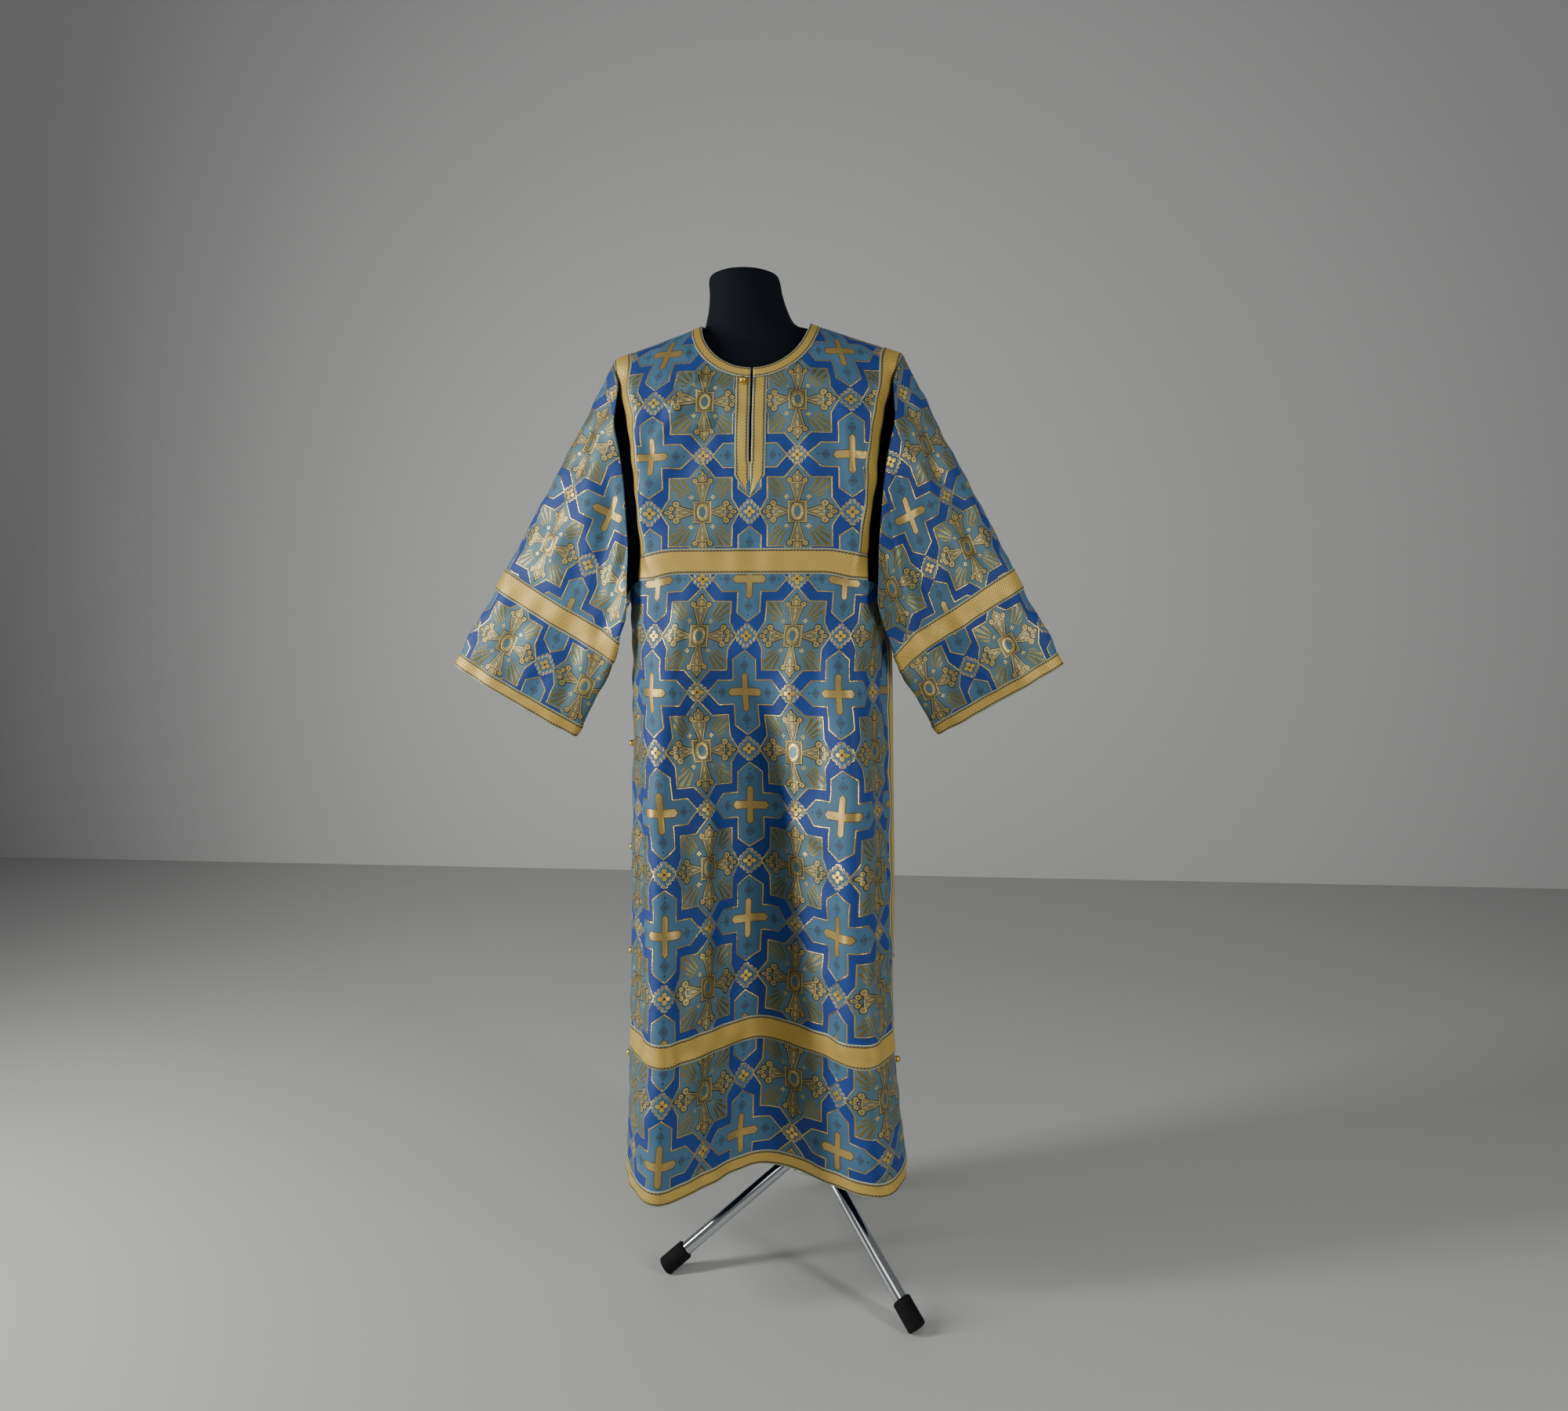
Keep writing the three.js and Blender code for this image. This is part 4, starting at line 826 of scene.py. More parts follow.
# Woven church brocade: a ground of two blues with crosses, medallions and strapwork in gold lurex. The
# lurex lights up where a fold turns to a lamp and goes a dull olive as it turns away.
def brocadeMaterial():
    look = brocadeLook
    material, tree = newMaterial("brocade_lurex_jacquard")
    draw = Drawing(tree)
    place = addNode(tree, "ShaderNodeUVMap", uv_map="cloth").outputs[0]
    split = addNode(tree, "ShaderNodeSeparateXYZ", {0: place})
    wide, tall = look["repeat"]

    # Folded so that a quarter of the repeat draws it all, with x and y counted from the cross's middle.
    def folded(metres, period, start):
        shifted = draw.calc("MULTIPLY_ADD", metres, 1000, period * 20.5 - start)
        return draw.calc("ABSOLUTE", draw.less(draw.calc("MODULO", shifted, period), period / 2))

    x = folded(split.outputs[0], wide, 0)
    y = folded(split.outputs[1], tall, look["crossHeight"])
    mx = draw.less(wide / 2, x)
    my = draw.less(tall / 2, y)

    # Two crossed arms, the first upright and the second level.
    def arms(px, py, first, second):
        return draw.either(draw.inside(draw.less(px, first[0]), draw.past(px, py, *first[1])),
                           draw.inside(draw.less(py, second[0]), draw.past(px, py, *second[1])))

    def within(px, py, size):
        return draw.inside(draw.less(px, size[0]), draw.less(py, size[1]))

    def awayFrom(value, place):
        return draw.calc("ABSOLUTE", draw.less(value, place))

    panel = arms(x, y, *motifs["panel"])
    medallion = draw.either(within(mx, my, motifs["medallionBox"]), arms(mx, my, *motifs["medallion"]))
    cross = arms(x, y, *motifs["cross"])

    # Knots where the straps cross, between two tips of the panels and two of the medallions.
    def knotShape(across, up, reach):
        knot = motifs["knot"]
        wave = draw.calc("PINGPONG", draw.less(across, up), knot["pitch"])
        wave = draw.calc("SMOOTH_MIN", wave, knot["crest"], knot["soft"])
        return draw.past(draw.calc("MULTIPLY_ADD", wave, knot["swing"], across), up, 1, 1, reach)

    knot = draw.either(knotShape(mx, y, motifs["knot"]["across"]), knotShape(x, my, motifs["knot"]["up"]))

    # Four round petals on the two axes through a point.
    def petals(px, py, size):
        long, short = (size * share for share in motifs["petal"])
        return draw.either(draw.oval(px, py, size, 0, long, short), draw.oval(px, py, 0, size, short, long))

    flowers = draw.either(petals(mx, y, motifs["flowers"][0]), petals(x, my, motifs["flowers"][1]))
    flowerEyes = draw.either(draw.oval(mx, y, *motifs["flowerEye"]), draw.oval(x, my, *motifs["flowerEye"]))
    gemUp, gemAcross = motifs["gemUp"], motifs["gemAcross"]
    gems = draw.either(draw.diamond(x, y, *gemUp), draw.diamond(x, y, *gemAcross))
    gemPetals = draw.either(petals(x, awayFrom(y, gemUp[1]), motifs["gemPetal"]),
                            petals(awayFrom(x, gemAcross[0]), y, motifs["gemPetal"]))
    beads = draw.ovals(x, y, motifs["beads"])

    # The scrolled cross: waisted arms that end in curls, with a star in each of its four inner corners.
    def scrolledArm(px, py, arm):
        return draw.either(draw.inside(draw.past(px, py, *arm["side"]), draw.less(py, arm["end"])),
                           draw.ovals(mx, my, arm["curls"]))

    pocket = draw.oval(mx, my, *motifs["pocket"])
    upright = scrolledArm(mx, my, motifs["upright"])
    level = scrolledArm(my, mx, motifs["level"])
    box = within(mx, my, motifs["box"])
    scroll = draw.inside(draw.either(upright, level, box), draw.times(pocket, -1))
    curls = draw.either(
        *(draw.edge(draw.oval(mx, my, *ring), half) for ring, half in motifs["rings"]),
        draw.edge(draw.less(mx, motifs["ribAcross"]), 0.5),
        draw.ovals(mx, my, motifs["leaves"]),
    )
    bead = draw.oval(mx, my, *motifs["bead"])
    beadRing = draw.edge(draw.oval(mx, my, *motifs["beadRing"]), 1.1)
    beadEye = draw.oval(mx, my, *motifs["beadEye"])
    star, fanned = motifs["star"], motifs["fan"]
    stars = petals(awayFrom(mx, star["x"]), awayFrom(my, star["y"]), star["size"])
    turn = draw.calc("ARCTAN2", draw.less(my, fanned["y"]), draw.less(mx, fanned["x"]))
    comb = draw.calc("PINGPONG", draw.times(turn, fanned["rays"]), fanned["pitch"])
    fan = draw.inside(draw.less(comb, fanned["ray"]), within(mx, my, (fanned["wide"], fanned["tall"])),
                      *(draw.past(mx, my, *side) for side in fanned["sides"]))

    onMedallion = draw.mask(medallion)
    fanMask = draw.mask(fan, 0.9)
    scrollMask = draw.mask(scroll)
    darkLines = draw.mask(draw.either(
        draw.edge(scroll, 0.65), draw.edge(draw.add(scroll, 3.2), 0.3), draw.edge(bead, 0.5)))
    color = draw.paint(
        fromHex(look["royal"]),
        (look["panel"], draw.mask(draw.either(knot, panel))),
        (look["corner"], onMedallion),
        (look["rays"], fanMask),
        (look["taupe"], scrollMask),
        (look["taupe"], draw.mask(bead)),
        (look["corner"], draw.mask(beadEye)),
        (look["dark"], draw.times(darkLines, 0.9)),
        (look["gem"], draw.times(draw.mask(gems), 0.35)),
        (look["gem"], draw.mask(draw.either(draw.edge(gems, 0.55), beads))),
    )

    # Gold threads: outlines, rings, stars, knots and the scrolled cross's inner line and curls.
    outside = draw.times(draw.either(panel, medallion), -1)
    borders = draw.either(draw.edge(panel, look["outline"]), draw.edge(medallion, look["outline"]))
    knots = draw.inside(draw.either(draw.edge(knot, 0.6), draw.edge(draw.add(knot, 2.6), 0.4)), outside)
    rim = draw.either(draw.edge(draw.add(scroll, 1.5), 0.42), draw.inside(curls, scroll))
    bright = draw.mask(draw.either(borders, knots, beadRing, stars))
    bright = draw.calc("MAXIMUM", bright, draw.times(draw.mask(rim), 0.62))
    underLine = draw.either(draw.edge(panel, 1.5), draw.edge(medallion, 1.5))
    crossMask = draw.mask(cross)
    flowerMask = draw.mask(flowers)
    color = draw.paint(
        color,
        (look["dark"], draw.times(draw.mask(underLine), 0.45)),
        (look["goldCross"], crossMask),
        (look["brown"], draw.times(draw.mask(draw.edge(cross, 0.6)), 0.8)),
        (look["gold"], bright),
        (look["brown"], draw.mask(draw.less(flowers, 0.7))),
        (look["brown"], draw.times(draw.mask(gemPetals), 0.8)),
        (look["gold"], flowerMask),
        (look["brown"], draw.mask(flowerEyes)),
    )

    # How much of the face is lurex, and how smooth that makes it.
    metal = bright
    for part, share in ((crossMask, 0.6), (fanMask, 0.7), (scrollMask, 0.55), (darkLines, 0.95),
                        (flowerMask, 0.7), (onMedallion, 0.25)):
        metal = draw.calc("MAXIMUM", metal, draw.times(part, share))
    rough = draw.calc("MULTIPLY_ADD", metal, -0.34, 0.6)

    # Threads of the weave, drawn coarser than real ones so that they show, and the lurex standing a
    # little proud of the ground, with its floats uneven enough to glitter.
    weft = draw.calc("SINE", draw.times(split.outputs[1], 2 * math.pi * 1000 / look["threads"]))
    height = draw.calc("MULTIPLY_ADD", weft, 0.00003, draw.times(metal, 0.00016))
    floats = addNode(tree, "ShaderNodeTexNoise", {"Vector": place, "Scale": 330.0, "Detail": 2.0})
    height = draw.add(height, draw.times(draw.times(floats.outputs[0], metal), 0.0011))
    bump = addNode(tree, "ShaderNodeBump", {"Height": height, "Strength": 0.5, "Distance": 1.0})
    finishMaterial(tree, {
        "Base Color": color,
        "Metallic": metal,
        "Roughness": rough,
        "Normal": bump.outputs[0],
        "Specular IOR Level": 0.3,
    })
    return material


# Plain cotton sateen on the wrong side of the cloth, even and without gold.
def backingMaterial():
    material, tree = newMaterial("backing_blue_sateen")
    finishMaterial(tree, {"Base Color": fromHex("#223A63"), "Roughness": 0.75, "Sheen Weight": 0.1})
    return material


galloonLook = {
    "gold": "#E0C062",
    "hatch": "#77591F",
    "border": "#A89C62",
    "piping": "#93A6AA",
    "stitch": "#141C2C",
    "hatchPitch": 2.2,
    "dashPitch": 2.6,
    "dashInset": 3.5,
    "borderInset": 4.4,
    "pipingInset": 0.8,
}


# Woven metallic braid: a warm gold with the soft glow of lurex, and a crossed rib down its middle. Along
# each edge it has a dull border with navy dashes, then a thin pale piping. Rib and dashes are drawn a little
# coarse.
def galloonMaterial(name, halfWidth):
    look = galloonLook
    material, tree = newMaterial(name)
    draw = Drawing(tree)
    place = addNode(tree, "ShaderNodeUVMap", uv_map="cloth").outputs[0]
    split = addNode(tree, "ShaderNodeSeparateXYZ", {0: place})
    along = draw.times(split.outputs[0], 1000)
    signed = draw.times(split.outputs[1], 1000)
    across = draw.calc("ABSOLUTE", signed)
    pitch = look["hatchPitch"]
    rising = draw.calc("PINGPONG", draw.add(along, signed), pitch)
    falling = draw.calc("PINGPONG", draw.less(along, signed), pitch)
    groove = addNode(tree, "ShaderNodeMapRange", {
        "Value": draw.calc("MINIMUM", rising, falling),
        "From Min": pitch * 0.5,
        "From Max": 0.0,
    }).outputs[0]
    middle = draw.mask(draw.less(across, halfWidth - look["borderInset"]), 0.5)
    piping = draw.mask(draw.less(halfWidth - look["pipingInset"], across), 0.3)
    away = draw.less(halfWidth, across)
    dash = draw.calc("PINGPONG", draw.add(along, away), look["dashPitch"])
    dashLine = draw.edge(draw.less(away, look["dashInset"]), 1.25)
    stitches = draw.mask(draw.inside(dashLine, draw.less(0.4, dash)), 0.5)
    hatched = draw.times(groove, middle)
    color = draw.paint(
        fromHex(look["border"]),
        (look["gold"], middle),
        (look["hatch"], draw.times(hatched, 0.85)),
        (look["piping"], piping),
        (look["stitch"], draw.times(stitches, 0.92)),
    )
    threads = draw.calc("MAXIMUM", stitches, piping)
    height = draw.less(draw.times(stitches, -0.0002), draw.times(hatched, 0.0003))
    bump = addNode(tree, "ShaderNodeBump", {"Height": height, "Strength": 0.6, "Distance": 1.0})
    finishMaterial(tree, {
        "Base Color": color,
        "Metallic": draw.calc("MULTIPLY_ADD", threads, -0.35, 0.35),
        "Roughness": draw.calc("MULTIPLY_ADD", threads, 0.2, 0.45),
        "Normal": bump.outputs[0],
    })
    return material


# One colour, with a fine grain in the surface where one is given as its scale and strength.
def plainMaterial(name, color, metallic, roughness, grain=None, shine=0.5):
    material, tree = newMaterial(name)
    inputs = {"Base Color": fromHex(color), "Metallic": metallic, "Roughness": roughness,
              "Specular IOR Level": shine}
    if grain:
        scale, strength = grain
        place = addNode(tree, "ShaderNodeTexCoord").outputs["Object"]
        noise = addNode(tree, "ShaderNodeTexNoise", {"Vector": place, "Scale": scale, "Detail": 4.0})
        bump = {"Height": noise.outputs[0], "Strength": strength, "Distance": 0.001}
        inputs["Normal"] = addNode(tree, "ShaderNodeBump", bump).outputs[0]
    finishMaterial(tree, inputs)
    return material


# A braid's material goes with its half width.
def braidOf(word, halfWidth):
    return galloonMaterial("galloon_gold_braid_" + word, halfWidth), halfWidth


brocade = brocadeMaterial()
backing = backingMaterial()
wideBraid = braidOf("wide", 19.3)
hemBraid = braidOf("hem", 11.7)
narrowBraid = braidOf("narrow", 11.0)
armholeBraid = braidOf("armhole", 14.0)
# Cast and polished brass: small sharp highlights on a yellow metal.
brass = plainMaterial("brass_cast_polished", "#D9B65C", 1.0, 0.24)
# Twisted metallic cord: duller than the braid, with a rough grain for the twist.
cordGold = plainMaterial("cord_gold_twisted", "#C49A45", 0.6, 0.45, (2400, 0.6))
# Moulded plastic skin, matt: a near black that takes almost no highlight.
formSkin = plainMaterial("form_moulded_black_skin", "#0A0F18", 0.0, 0.8, (900, 0.12), 0.12)
# Chrome plate on steel tube: a clear mirror of the room along each tube.
chromePlate = plainMaterial("chrome_plated_steel_tube", "#C9CDD1", 1.0, 0.09)
# Moulded rubber: matt black with a faint bloom.
rubberBlack = plainMaterial("rubber_moulded_black", "#08090B", 0.0, 0.78, (700, 0.2), 0.2)
print("finishes made")


panels = {"front": panelGrid("front", frontDrapes), "back": panelGrid("back", backDrapes)}

# The panels stand square to the shoulder line where they meet, and share their normals down the side slits.
for side in (-1, 1):
    run = garment["shoulderEnd"] - garment["neckOuter"]
    square = np.array([side * garment["shoulderDrop"], 0, run], float)
    square /= np.linalg.norm(square)
    for panel in panels.values():
        corner = columnAt(panel, side, garment["corner"])
        outer = columnAt(panel, side, garment["armhole"])
        span = slice(min(corner, outer), max(corner, outer) + 1)
        panel["normals"][panel["shoulderRow"], span] = square
        panel["normals"][panel["shoulderRow"]:, corner] = square
    edges = [(panel, columnAt(panel, side, garment["side"])) for panel in panels.values()]
    rows = slice(0, panels["front"]["yokeRow"] + 1)
    shared = sum(panel["normals"][rows, column] for panel, column in edges)
    shared /= np.linalg.norm(shared, axis=-1, keepdims=True)
    for panel, column in edges:
        panel["normals"][rows, column] = shared
        beside = panel["points"][rows, column + (1 if column == 0 else -1)]
        away = beside - panel["points"][rows, column]
        panel["points"][rows, column] += away * seam / np.linalg.norm(away, axis=-1, keepdims=True)


def place(piece, slot, nodes):
    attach(piece, "root")
    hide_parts(*nodes)
    return piece


def addCloth(name, grid, node, keep=None):
    wall = wallMesh(name, grid, -brocadeWall / 2, brocadeWall / 2, [brocade, backing], keep)
    place(wall, "brocade", [node])


def addBraid(name, strip, alongColumns, braid, node, lift=galloonLift):
    place(ribbonPiece(name, strip, alongColumns, braid, lift), "galloon", [node])


# Whole rows or columns from one to the other, as places for takeFrom.
def whole(first, last):
    return np.arange(first, last + 1, dtype=float)


# What a function picks from each of a grid's arrays.
def picked(grid, pick):
    return {key: pick(grid[key]) for key in ("points", "normals", "uv")}


bothSides = (("left", -1), ("right", 1))
armhole, sideEdge = garment["armhole"], garment["side"]
hemTop, bandLow, bandHigh = garment["hem"]["high"], garment["lowerBand"]["low"], garment["lowerBand"]["high"]
for face, panel in panels.items():
    addCloth(face + "_brocade", panel, face + "_panel", panel["keep"])
    strip = takeFrom(panel, ribbonPlaces(0, rowAt(panel, hemTop), 5), whole(0, len(panel["side"]) - 1))
    addBraid("hem_braid_" + face, strip, True, hemBraid, "hem_galloon_" + face)
    inset = sorted((columnAt(panel, -1, sideEdge - 1), columnAt(panel, 1, sideEdge - 1)))
    strip = takeFrom(panel, ribbonPlaces(rowAt(panel, bandLow), rowAt(panel, bandHigh), 7), whole(*inset))
    addBraid("lower_braid_" + face, strip, True, wideBraid, "lower_band_" + face)
    for word, side in bothSides:
        ends = sorted((columnAt(panel, side, sideEdge), columnAt(panel, side, sideEdge - 1)))
        strip = takeFrom(panel, whole(rowAt(panel, hemTop), panel["yokeRow"]), ribbonPlaces(*ends, 4))
        addBraid(f"side_braid_{face}_{word}", strip, False, narrowBraid, f"side_galloon_{face}_{word}")

front = panels["front"]
ends = columnAt(front, -1, armhole), columnAt(front, 1, armhole)
strip = takeFrom(front, ribbonPlaces(front["yokeRow"], front["upperRow"], 7), whole(*ends))
addBraid("yoke_braid", strip, True, wideBraid, "yoke_band")


# The last strip beside an armhole, from the front's foot over the shoulder to the back's.
def overShoulder(side):
    picks = []
    for face, step in (("front", 1), ("back", -1)):
        panel = panels[face]
        a, b = sorted((columnAt(panel, side, armhole - 1), columnAt(panel, side, armhole)))
        rows = slice(panel["upperRow"], panel["shoulderRow"] + 1)
        picks.append(picked(panel, lambda values: values[rows, a:b + 1][::step, ::step]))
    return {key: np.concatenate([pick[key] for pick in picks]) for key in picks[0]}


for word, side in bothSides:
    strip = overShoulder(side)
    rows, columns = strip["points"].shape[:2]
    strip = takeFrom(strip, whole(0, rows - 1), ribbonPlaces(0, columns - 1, 6))
    addBraid("armhole_braid_" + word, strip, False, armholeBraid, "armhole_galloon_" + word)

# The neck's braid runs round through both panels.
order = []
quarters = (("front", 1, True), ("back", 1, False), ("back", -1, True), ("front", -1, False))
for face, side, outward in quarters:
    panel = panels[face]
    columns = [columnAt(panel, side, c) for c in panel["fine"] if c <= garment["corner"]]
    order += [(panel, column) for column in (columns if outward else columns[::-1])]
ring = {key: np.stack([panel[key][panel["shoulderRow"]:, column] for panel, column in order], axis=1)
        for key in ("points", "normals", "uv")}
strip = takeFrom(ring, ribbonPlaces(0, garment["rimRows"] - 1, 5), whole(0, len(order) - 1))
addBraid("neck_braid", strip, True, narrowBraid, "neck_galloon", 2 * seam)

# The slit's two braids end together in a point below it.
slit = {
    "foot": 1229,
    "tip": 1198,
    "braid": 23.8,
    "drawnIn": 1.5,
    "tipRows": 6,
}

for word, side in bothSides:
    columns = sorted((columnAt(front, side, 0), columnAt(front, side, 1)))
    low = int(np.argmin(np.abs(front["base"][:, columns[0], 2] - slit["foot"])))
    rows = slice(low, front["shoulderRow"] + 1)
    grid = picked(front, lambda values: values[rows, columns[0]:columns[1] + 1].copy())
    width = columns[1] - columns[0]
    across = np.arange(width + 1) / width
    across = across if side > 0 else across[::-1]
    grid["points"][:front["slitRow"] - low, :, 0] -= side * slit["drawnIn"] * (1 - across)
    tip = []
    for t in np.linspace(1, 0, slit["tipRows"], endpoint=False):
        row = picked(grid, lambda values: values[0].copy())
        row["points"][:, 0] = side * (seam + across * (slit["braid"] * (1 - t) + seam))
        row["points"][:, 2] = slit["tip"] + (grid["points"][0, :, 2] - slit["tip"]) * (1 - t)
        tip.append(row)
    grid = {key: np.concatenate([np.stack([row[key] for row in tip]), grid[key]]) for key in grid}
    strip = takeFrom(grid, whole(0, len(grid["points"]) - 1), ribbonPlaces(0, width, 5))
    addBraid("slit_braid_" + word, strip, False, narrowBraid, "slit_galloon_" + word)

for word, side in bothSides:
    sleeve = sleeveGrid(panels, word, side)
    sleeve["uv"] = sleeve["uv"] + np.array([0, sleeveTable["patternStart"]])
    addCloth(f"sleeve_{word}_brocade", sleeve, "sleeve_" + word)
    distance = np.median(sleeve["share"] * sleeve["length"], axis=1)
    around = whole(0, sleeve["points"].shape[1] - 1)
    for title, node, low, high, count, braid in (
        ("cuff_braid_", "cuff_galloon_", 0, sleeveTable["galloon"], 5, hemBraid),
        ("sleeve_braid_", "sleeve_band_", *sleeveTable["band"], 7, wideBraid),
    ):
        places = np.interp([low, high], distance, np.arange(len(distance)))
        strip = takeFrom(sleeve, ribbonPlaces(*places, count), around)
        addBraid(title + word, strip, True, braid, node + word)
print("garment made")


form = {
    "z": [860, 868, 930, 1000, 1085, 1150, 1220, 1317, 1370, 1400, 1420, 1433, 1446, 1460, 1474],
    "width": [140, 152, 158, 168, 191, 196, 201, 206, 214, 218, 217, 215, 179, 135, 90],
    "front": [58, 68, 82, 98, 112, 117, 118, 108, 97, 86, 75, 66, 56, 46, 36],
    "back": [66, 76, 86, 94, 102, 106, 108, 105, 99, 89, 78, 69, 58, 47, 37],
    "square": [2.2, 2.2, 2.2, 2.3, 2.4, 2.4, 2.4, 2.4, 2.4, 2.2, 2.1, 2, 2, 2, 2],
    "x": [32, 31, 25, 18, 8, 3, 0, 0, 0, 0, 0, 0, 0, 0, 0],
}

neck = {
    "z": [1400, 1440, 1462, 1474, 1484, 1507, 1530, 1548, 1555, 1558],
    "width": [84, 83, 81, 79, 70.5, 62, 57.5, 56, 53, 46],
    "front": [60, 60, 57, 54, 52, 53, 53, 53, 50, 44],
    "back": [60, 60, 57, 54, 53, 54, 53, 53, 50, 44],
    "x": [0, 0, -4, -8, -13, -16, -18.5, -20.5, -21, -21.3],
    "y": [0, 0, -4, -7, -9.5, -14, -18, -21, -22, -22.5],
}


# A closed tube through rings of points, with flat ends.
def tubeMesh(name, rings, material):
    sides = len(rings[0])
    count = len(rings)
    index = np.arange(count * sides).reshape(count, sides)
    after = np.roll(index, -1, axis=1)
    faces = np.stack([index[:-1], after[:-1], after[1:], index[1:]], axis=-1).reshape(-1, 4).tolist()
    faces += [index[0, ::-1].tolist(), index[-1].tolist()]
    mesh = bpy.data.meshes.new(name)
    mesh.from_pydata((np.concatenate(rings) / 1000).tolist(), [], faces)
    mesh.materials.append(material)
    mesh.polygons.foreach_set("use_smooth", np.ones(len(faces), bool))
    mesh.polygons[len(faces) - 1].use_smooth = False
    mesh.polygons[len(faces) - 2].use_smooth = False
    return addToScene(name, mesh)


# How far out a table's level line is at each turn.
def reachAt(table, z, turn, square):
    deep = np.where(np.sin(turn) > 0, readTable(table, "back", z), readTable(table, "front", z))
    wide = readTable(table, "width", z)
    return (np.abs(np.cos(turn) / wide) ** square + np.abs(np.sin(turn) / deep) ** square) ** (-1 / square)


# The form's body and neck flow into one another: where they overlap, the further out is taken, smoothly.
# Its rings lie closer together at the foot, the shoulders and the crown.
def formRings(count=120):
    foot, root, shoulder, crown = form["z"][0], neck["z"][0], form["z"][-1], neck["z"][-1]
    heights = np.concatenate([np.linspace(foot, foot + 8, 6), np.linspace(foot + 14, root, 60),
                              np.linspace(root + 4, 1500, 40), np.linspace(1506, 1545, 10),
                              np.linspace(1548, crown, 9)])
    turn = np.linspace(0, 2 * math.pi, count, endpoint=False)
    rings = []
    for z in heights:
        parts = []
        if z < shoulder:
            parts.append(reachAt(form, z, turn, readTable(form, "square", z)))
        if z > root:
            parts.append(reachAt(neck, z, turn, 2))
        reach = parts[0] if len(parts) == 1 else (parts[0] ** 10 + parts[1] ** 10) ** 0.1
        x = readTable(form if z < root else neck, "x", z)
        y = 0 if z < root else readTable(neck, "y", z)
        ring = [x + reach * np.cos(turn), y + reach * np.sin(turn), np.full(count, z)]
        rings.append(np.stack(ring, axis=-1) + toFrame)
    return rings


place(tubeMesh("form_body", formRings(), formSkin), "form_skin", ["dress_form"])


def unit(vector):
    return vector / np.linalg.norm(vector)


# A circle of directions round an axis, starting across the helper.
def circleRound(axis, helper, count):
    first = unit(np.cross(helper, axis))
    second = np.cross(axis, first)
    turn = np.linspace(0, 2 * math.pi, count, endpoint=False)
    return np.cos(turn)[:, None] * first + np.sin(turn)[:, None] * second


# The rings of a round bar between two points, with its ends rounded over.
def barRings(start, end, radius, count=48, corner=1.2, taper=1.0):
    start, end = np.array(start, float), np.array(end, float)
    length = np.linalg.norm(end - start)
    axis = (end - start) / length
    circle = circleRound(axis, [0, 0, 1.0] if abs(axis[2]) < 0.9 else [1.0, 0, 0], count)
    bend = np.linspace(0, math.pi / 2, 5)
    places = [(corner * (1 - math.cos(b)), radius - corner + corner * math.sin(b)) for b in bend]
    places += [(length - at, wide) for at, wide in places[::-1]]
    return [start + axis * at + circle * (wide * (1 + (taper - 1) * at / length)) for at, wide in places]


stand = {
    "hub": (84, 4, 175),
    "hubRadius": 34,
    "hubHalf": 28,
    "hubCorner": 4,
    "hubTaper": 0.82,
    "poleTop": (32, 0, 900),
    "poleRadius": 12.5,
    "legDegrees": (-46.2, -166.2, 73.8),
    "legRadius": 10,
    "legRoot": {"out": 22, "z": 169},
    "legFoot": {"out": 227, "z": 12},
    "capRadius": 14,
    "capLength": 42,
    "capPast": 7,
    "capCorner": 3,
}

hub = np.array(stand["hub"]) + toFrame
pole = barRings(hub, np.array(stand["poleTop"]) + toFrame, stand["poleRadius"])
place(tubeMesh("pole_tube", pole, chromePlate), "chrome_tube", ["stand_pole"])
half = np.array([0, 0, stand["hubHalf"]])
casting = barRings(hub - half, hub + half, stand["hubRadius"], 64, stand["hubCorner"], stand["hubTaper"])
place(tubeMesh("hub_casting", casting, chromePlate), "chrome_tube", ["stand_hub"])
for i, degrees in enumerate(stand["legDegrees"], 1):
    out = np.array([math.cos(math.radians(degrees)), math.sin(math.radians(degrees)), 0])
    root, foot = (hub + out * end["out"] for end in (stand["legRoot"], stand["legFoot"]))
    root[2], foot[2] = stand["legRoot"]["z"], stand["legFoot"]["z"]
    along = unit(foot - root)
    leg = barRings(root, foot, stand["legRadius"])
    place(tubeMesh(f"leg_tube_{i}", leg, chromePlate), "chrome_tube", [f"leg_{i}"])
    capEnd = foot + along * stand["capPast"]
    capStart = foot + along * (stand["capPast"] - stand["capLength"])
    cap = barRings(capStart, capEnd, stand["capRadius"], 56, stand["capCorner"])
    # The cap is cut level where it meets the floor.
    for ring in cap:
        ring[:, 2] = np.maximum(ring[:, 2], 0)
    place(tubeMesh(f"rubber_cap_{i}", cap, rubberBlack), "rubber", [f"rubber_foot_{i}"])
print("stand made")


ball = {
    "radius": 5.3,
    "shank": [(-7.0, 2.2), (-6.4, 2.6), (-5.2, 2.3)],
    "from": -1.1,
    "to": 1.45,
    "rings": 18,
    "sideIn": 4.5,
    "sideBack": 3,
}

cord = {
    "radius": 0.75,
    "round": 3.4,
    "tail": 7.5,
    "below": 4.8,
    "opening": 0.12,
    "steps": 44,
}


# Where a button is and which way it points, with the side buttons drawn in against the cloth.
def buttonPlace(node):
    low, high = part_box(node)
    middle = (np.array(low) + np.array(high)) * 500
    outward = np.array([0, -0.7, 0.05])
    if "side" in node:
        outward[0] = math.copysign(0.72, middle[0])
        middle -= [math.copysign(ball["sideIn"], middle[0]), -ball["sideBack"], 0]
    return middle, unit(outward)


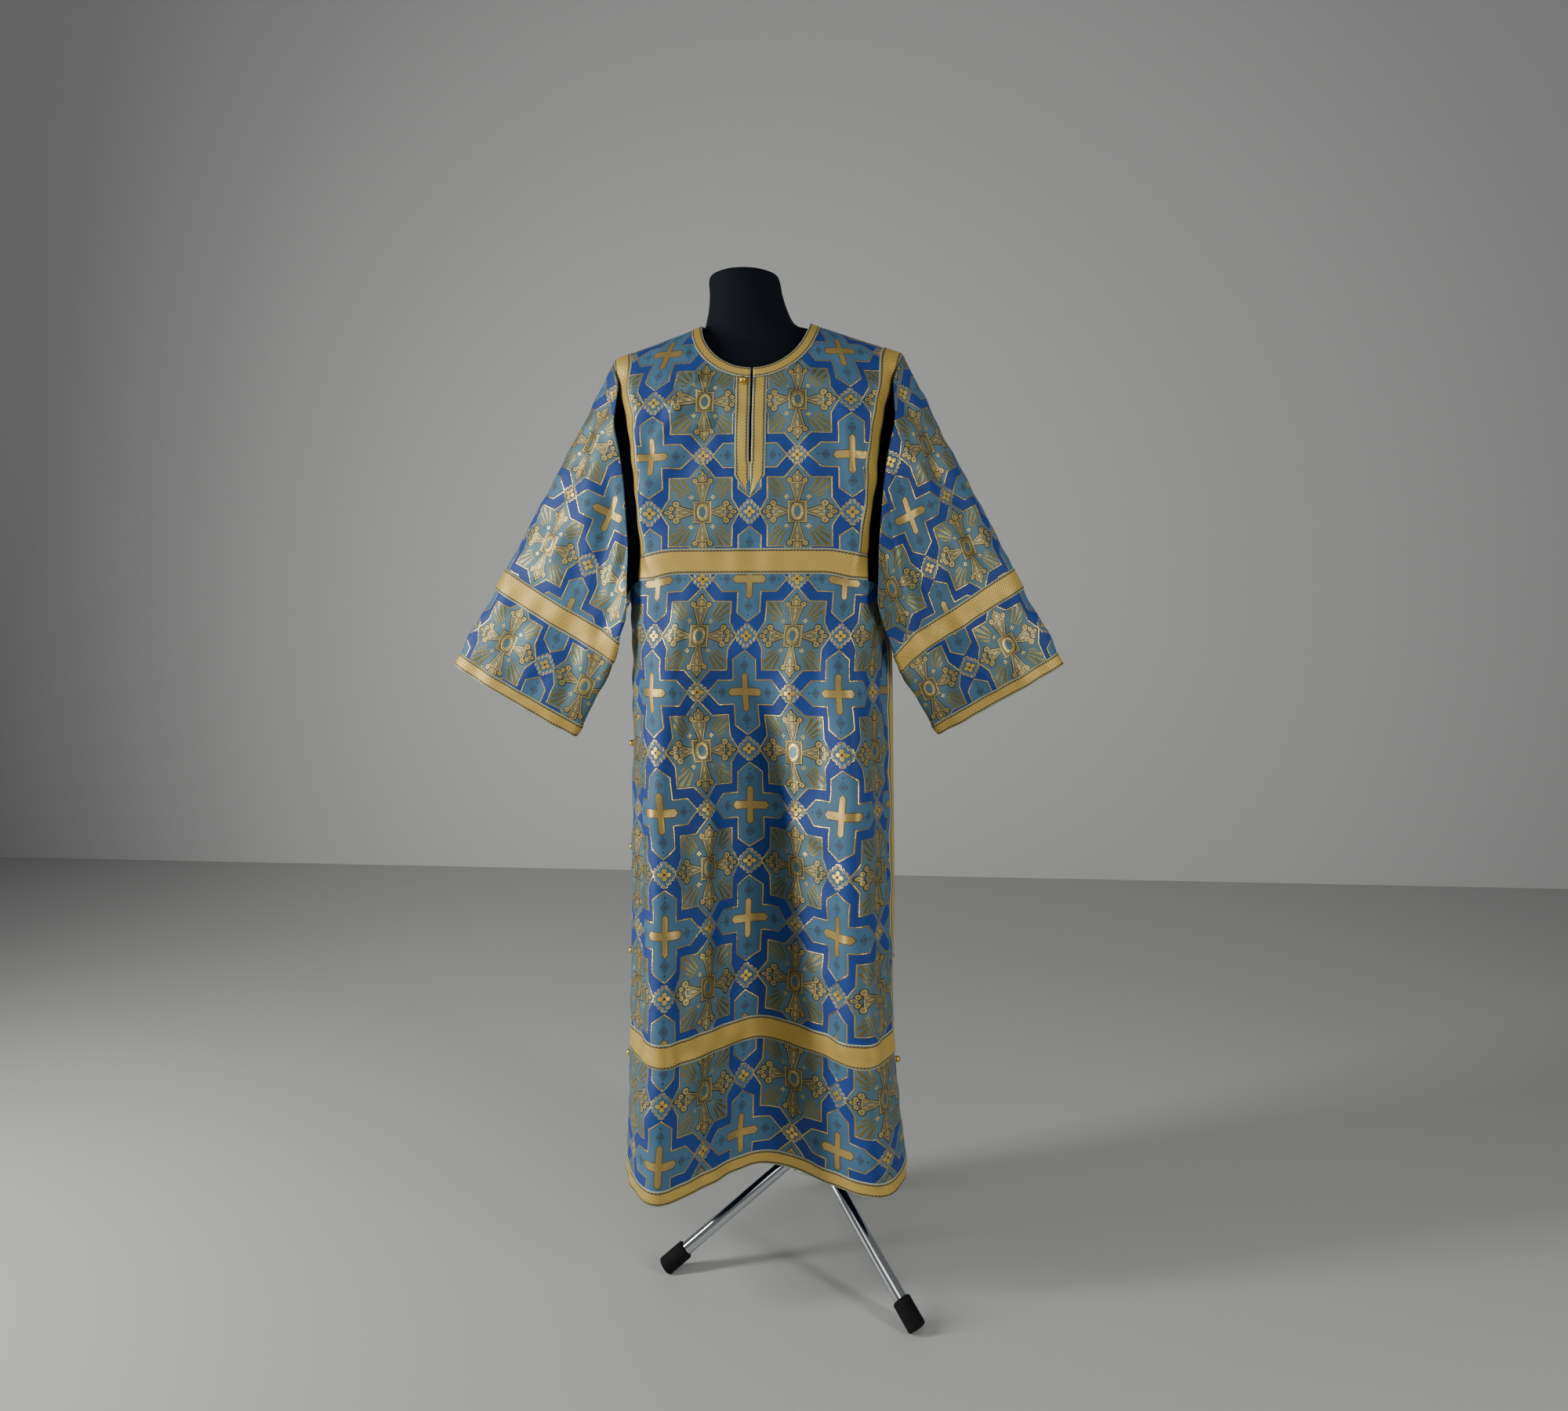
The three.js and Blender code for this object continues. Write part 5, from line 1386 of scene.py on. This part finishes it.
# A cast ball button on its shank, with the tip of the ball away from the cloth.
def buttonPiece(name, node):
    middle, outward = buttonPlace(node)
    turns = np.linspace(ball["from"], ball["to"], ball["rings"])
    profile = ball["shank"] + [(ball["radius"] * math.sin(a), ball["radius"] * math.cos(a)) for a in turns]
    circle = circleRound(outward, [0, 0, 1.0], 28)
    rings = [middle + outward * at + circle * wide for at, wide in profile]
    place(tubeMesh(name, rings, brass), "gold_button", [node])


# A thin cord along a line of points.
def cordPiece(name, line):
    rings = []
    for k, point in enumerate(line):
        axis = unit(line[min(k + 1, len(line) - 1)] - line[max(k - 1, 0)])
        rings.append(point + cord["radius"] * circleRound(axis, [-0.3, 0.9, -0.2], 10))
    piece = tubeMesh(name, rings, cordGold)
    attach(piece, "root")


# A loop round a button's neck, drawn out to where it is sewn on.
def buttonLoop(name, node, towards):
    middle, outward = buttonPlace(node)
    first = unit(np.array(towards, float) - np.dot(towards, outward) * outward)
    second = np.cross(outward, first)
    line = []
    for a in np.linspace(cord["opening"], 2 * math.pi - cord["opening"], cord["steps"]):
        reach = cord["round"] + cord["tail"] * max(math.cos(a), 0) ** 5
        line.append(middle - outward * (cord["below"] + 0.12 * reach)
                    + reach * math.cos(a) * first + min(reach, cord["round"]) * math.sin(a) * second)
    cordPiece(name, np.array(line))


for word, side in bothSides:
    for i in range(1, 5):
        buttonPiece(f"ball_button_{word}_{i}", f"side_button_{word}_{i}")
        buttonLoop(f"cord_loop_{word}_{i}", f"side_button_{word}_{i}", (-side * 0.5, -0.8, 0))
buttonPiece("ball_button_neck", "neck_button")
buttonLoop("cord_loop_neck", "neck_button", (1, 0, 0.1))
print("buttons made")

room = {
    "half": 6,
    "wallY": 2.6,
    "wallTop": 5,
    "sky": 0.78,
    "skyStrength": 0.21,
    "lampTarget": (0, 0, 1.0),
}

# Each lamp: where it hangs, its size in metres, its power and its colour.
lamps = {
    "window_left": ((-2.2, -0.85, 1.3), (0.34, 2.2), 72, (1.0, 0.985, 0.94)),
    "window_right": ((2.0, -1.5, 1.3), (0.32, 2.2), 27, (1.0, 0.99, 0.95)),
    "fill_front": ((-0.4, -2.9, 2.4), (2.0, 1.2), 17, (1.0, 1.0, 0.97)),
}

view = {
    "place": (0.187, -1.7085, 1.005),
    "ahead": (-0.0872, 0.9962, 0),
    "lens": 24.3,
    "sensor": 36,
    "shiftY": -0.05,
}


def facing(direction):
    return Vector(direction).to_track_quat("-Z", "Y").to_euler()


def plane(name, points, material):
    mesh = bpy.data.meshes.new(name)
    mesh.from_pydata(points, [], [list(range(len(points)))])
    mesh.materials.append(material)
    addToScene(name, mesh)


half, wallY, wallTop = room["half"], room["wallY"], room["wallTop"]
# Matt wall paint and a satin floor, both plain, so that only the part has detail.
plane("floor", [(-half, -half, 0), (half, -half, 0), (half, wallY, 0), (-half, wallY, 0)],
      plainMaterial("floor_painted_pale", "#B9BBBA", 0.0, 0.6))
plane("wall", [(-half, wallY, 0), (half, wallY, 0), (half, wallY, wallTop), (-half, wallY, wallTop)],
      plainMaterial("wall_painted_pale", "#C9CBCB", 0.0, 0.8))

for name, (spot, size, power, tint) in lamps.items():
    data = bpy.data.lights.new(name, "AREA")
    data.shape = "RECTANGLE"
    data.size, data.size_y = size
    data.energy = power
    data.color = tint
    light = addToScene(name, data)
    light.location = spot
    light.rotation_euler = facing(Vector(room["lampTarget"]) - Vector(spot))

world = bpy.data.worlds.new("soft_room")
bpy.context.scene.world = world
world.use_nodes = True
sky = world.node_tree.nodes["Background"].inputs
sky[0].default_value = (room["sky"], room["sky"], room["sky"], 1)
sky[1].default_value = room["skyStrength"]

data = bpy.data.cameras.new("photo_camera")
data.lens = view["lens"]
data.sensor_width = view["sensor"]
data.shift_y = view["shiftY"]
camera = addToScene("photo_camera", data)
camera.location = view["place"]
camera.rotation_euler = facing(view["ahead"])
bpy.context.scene.camera = camera
print("room made")
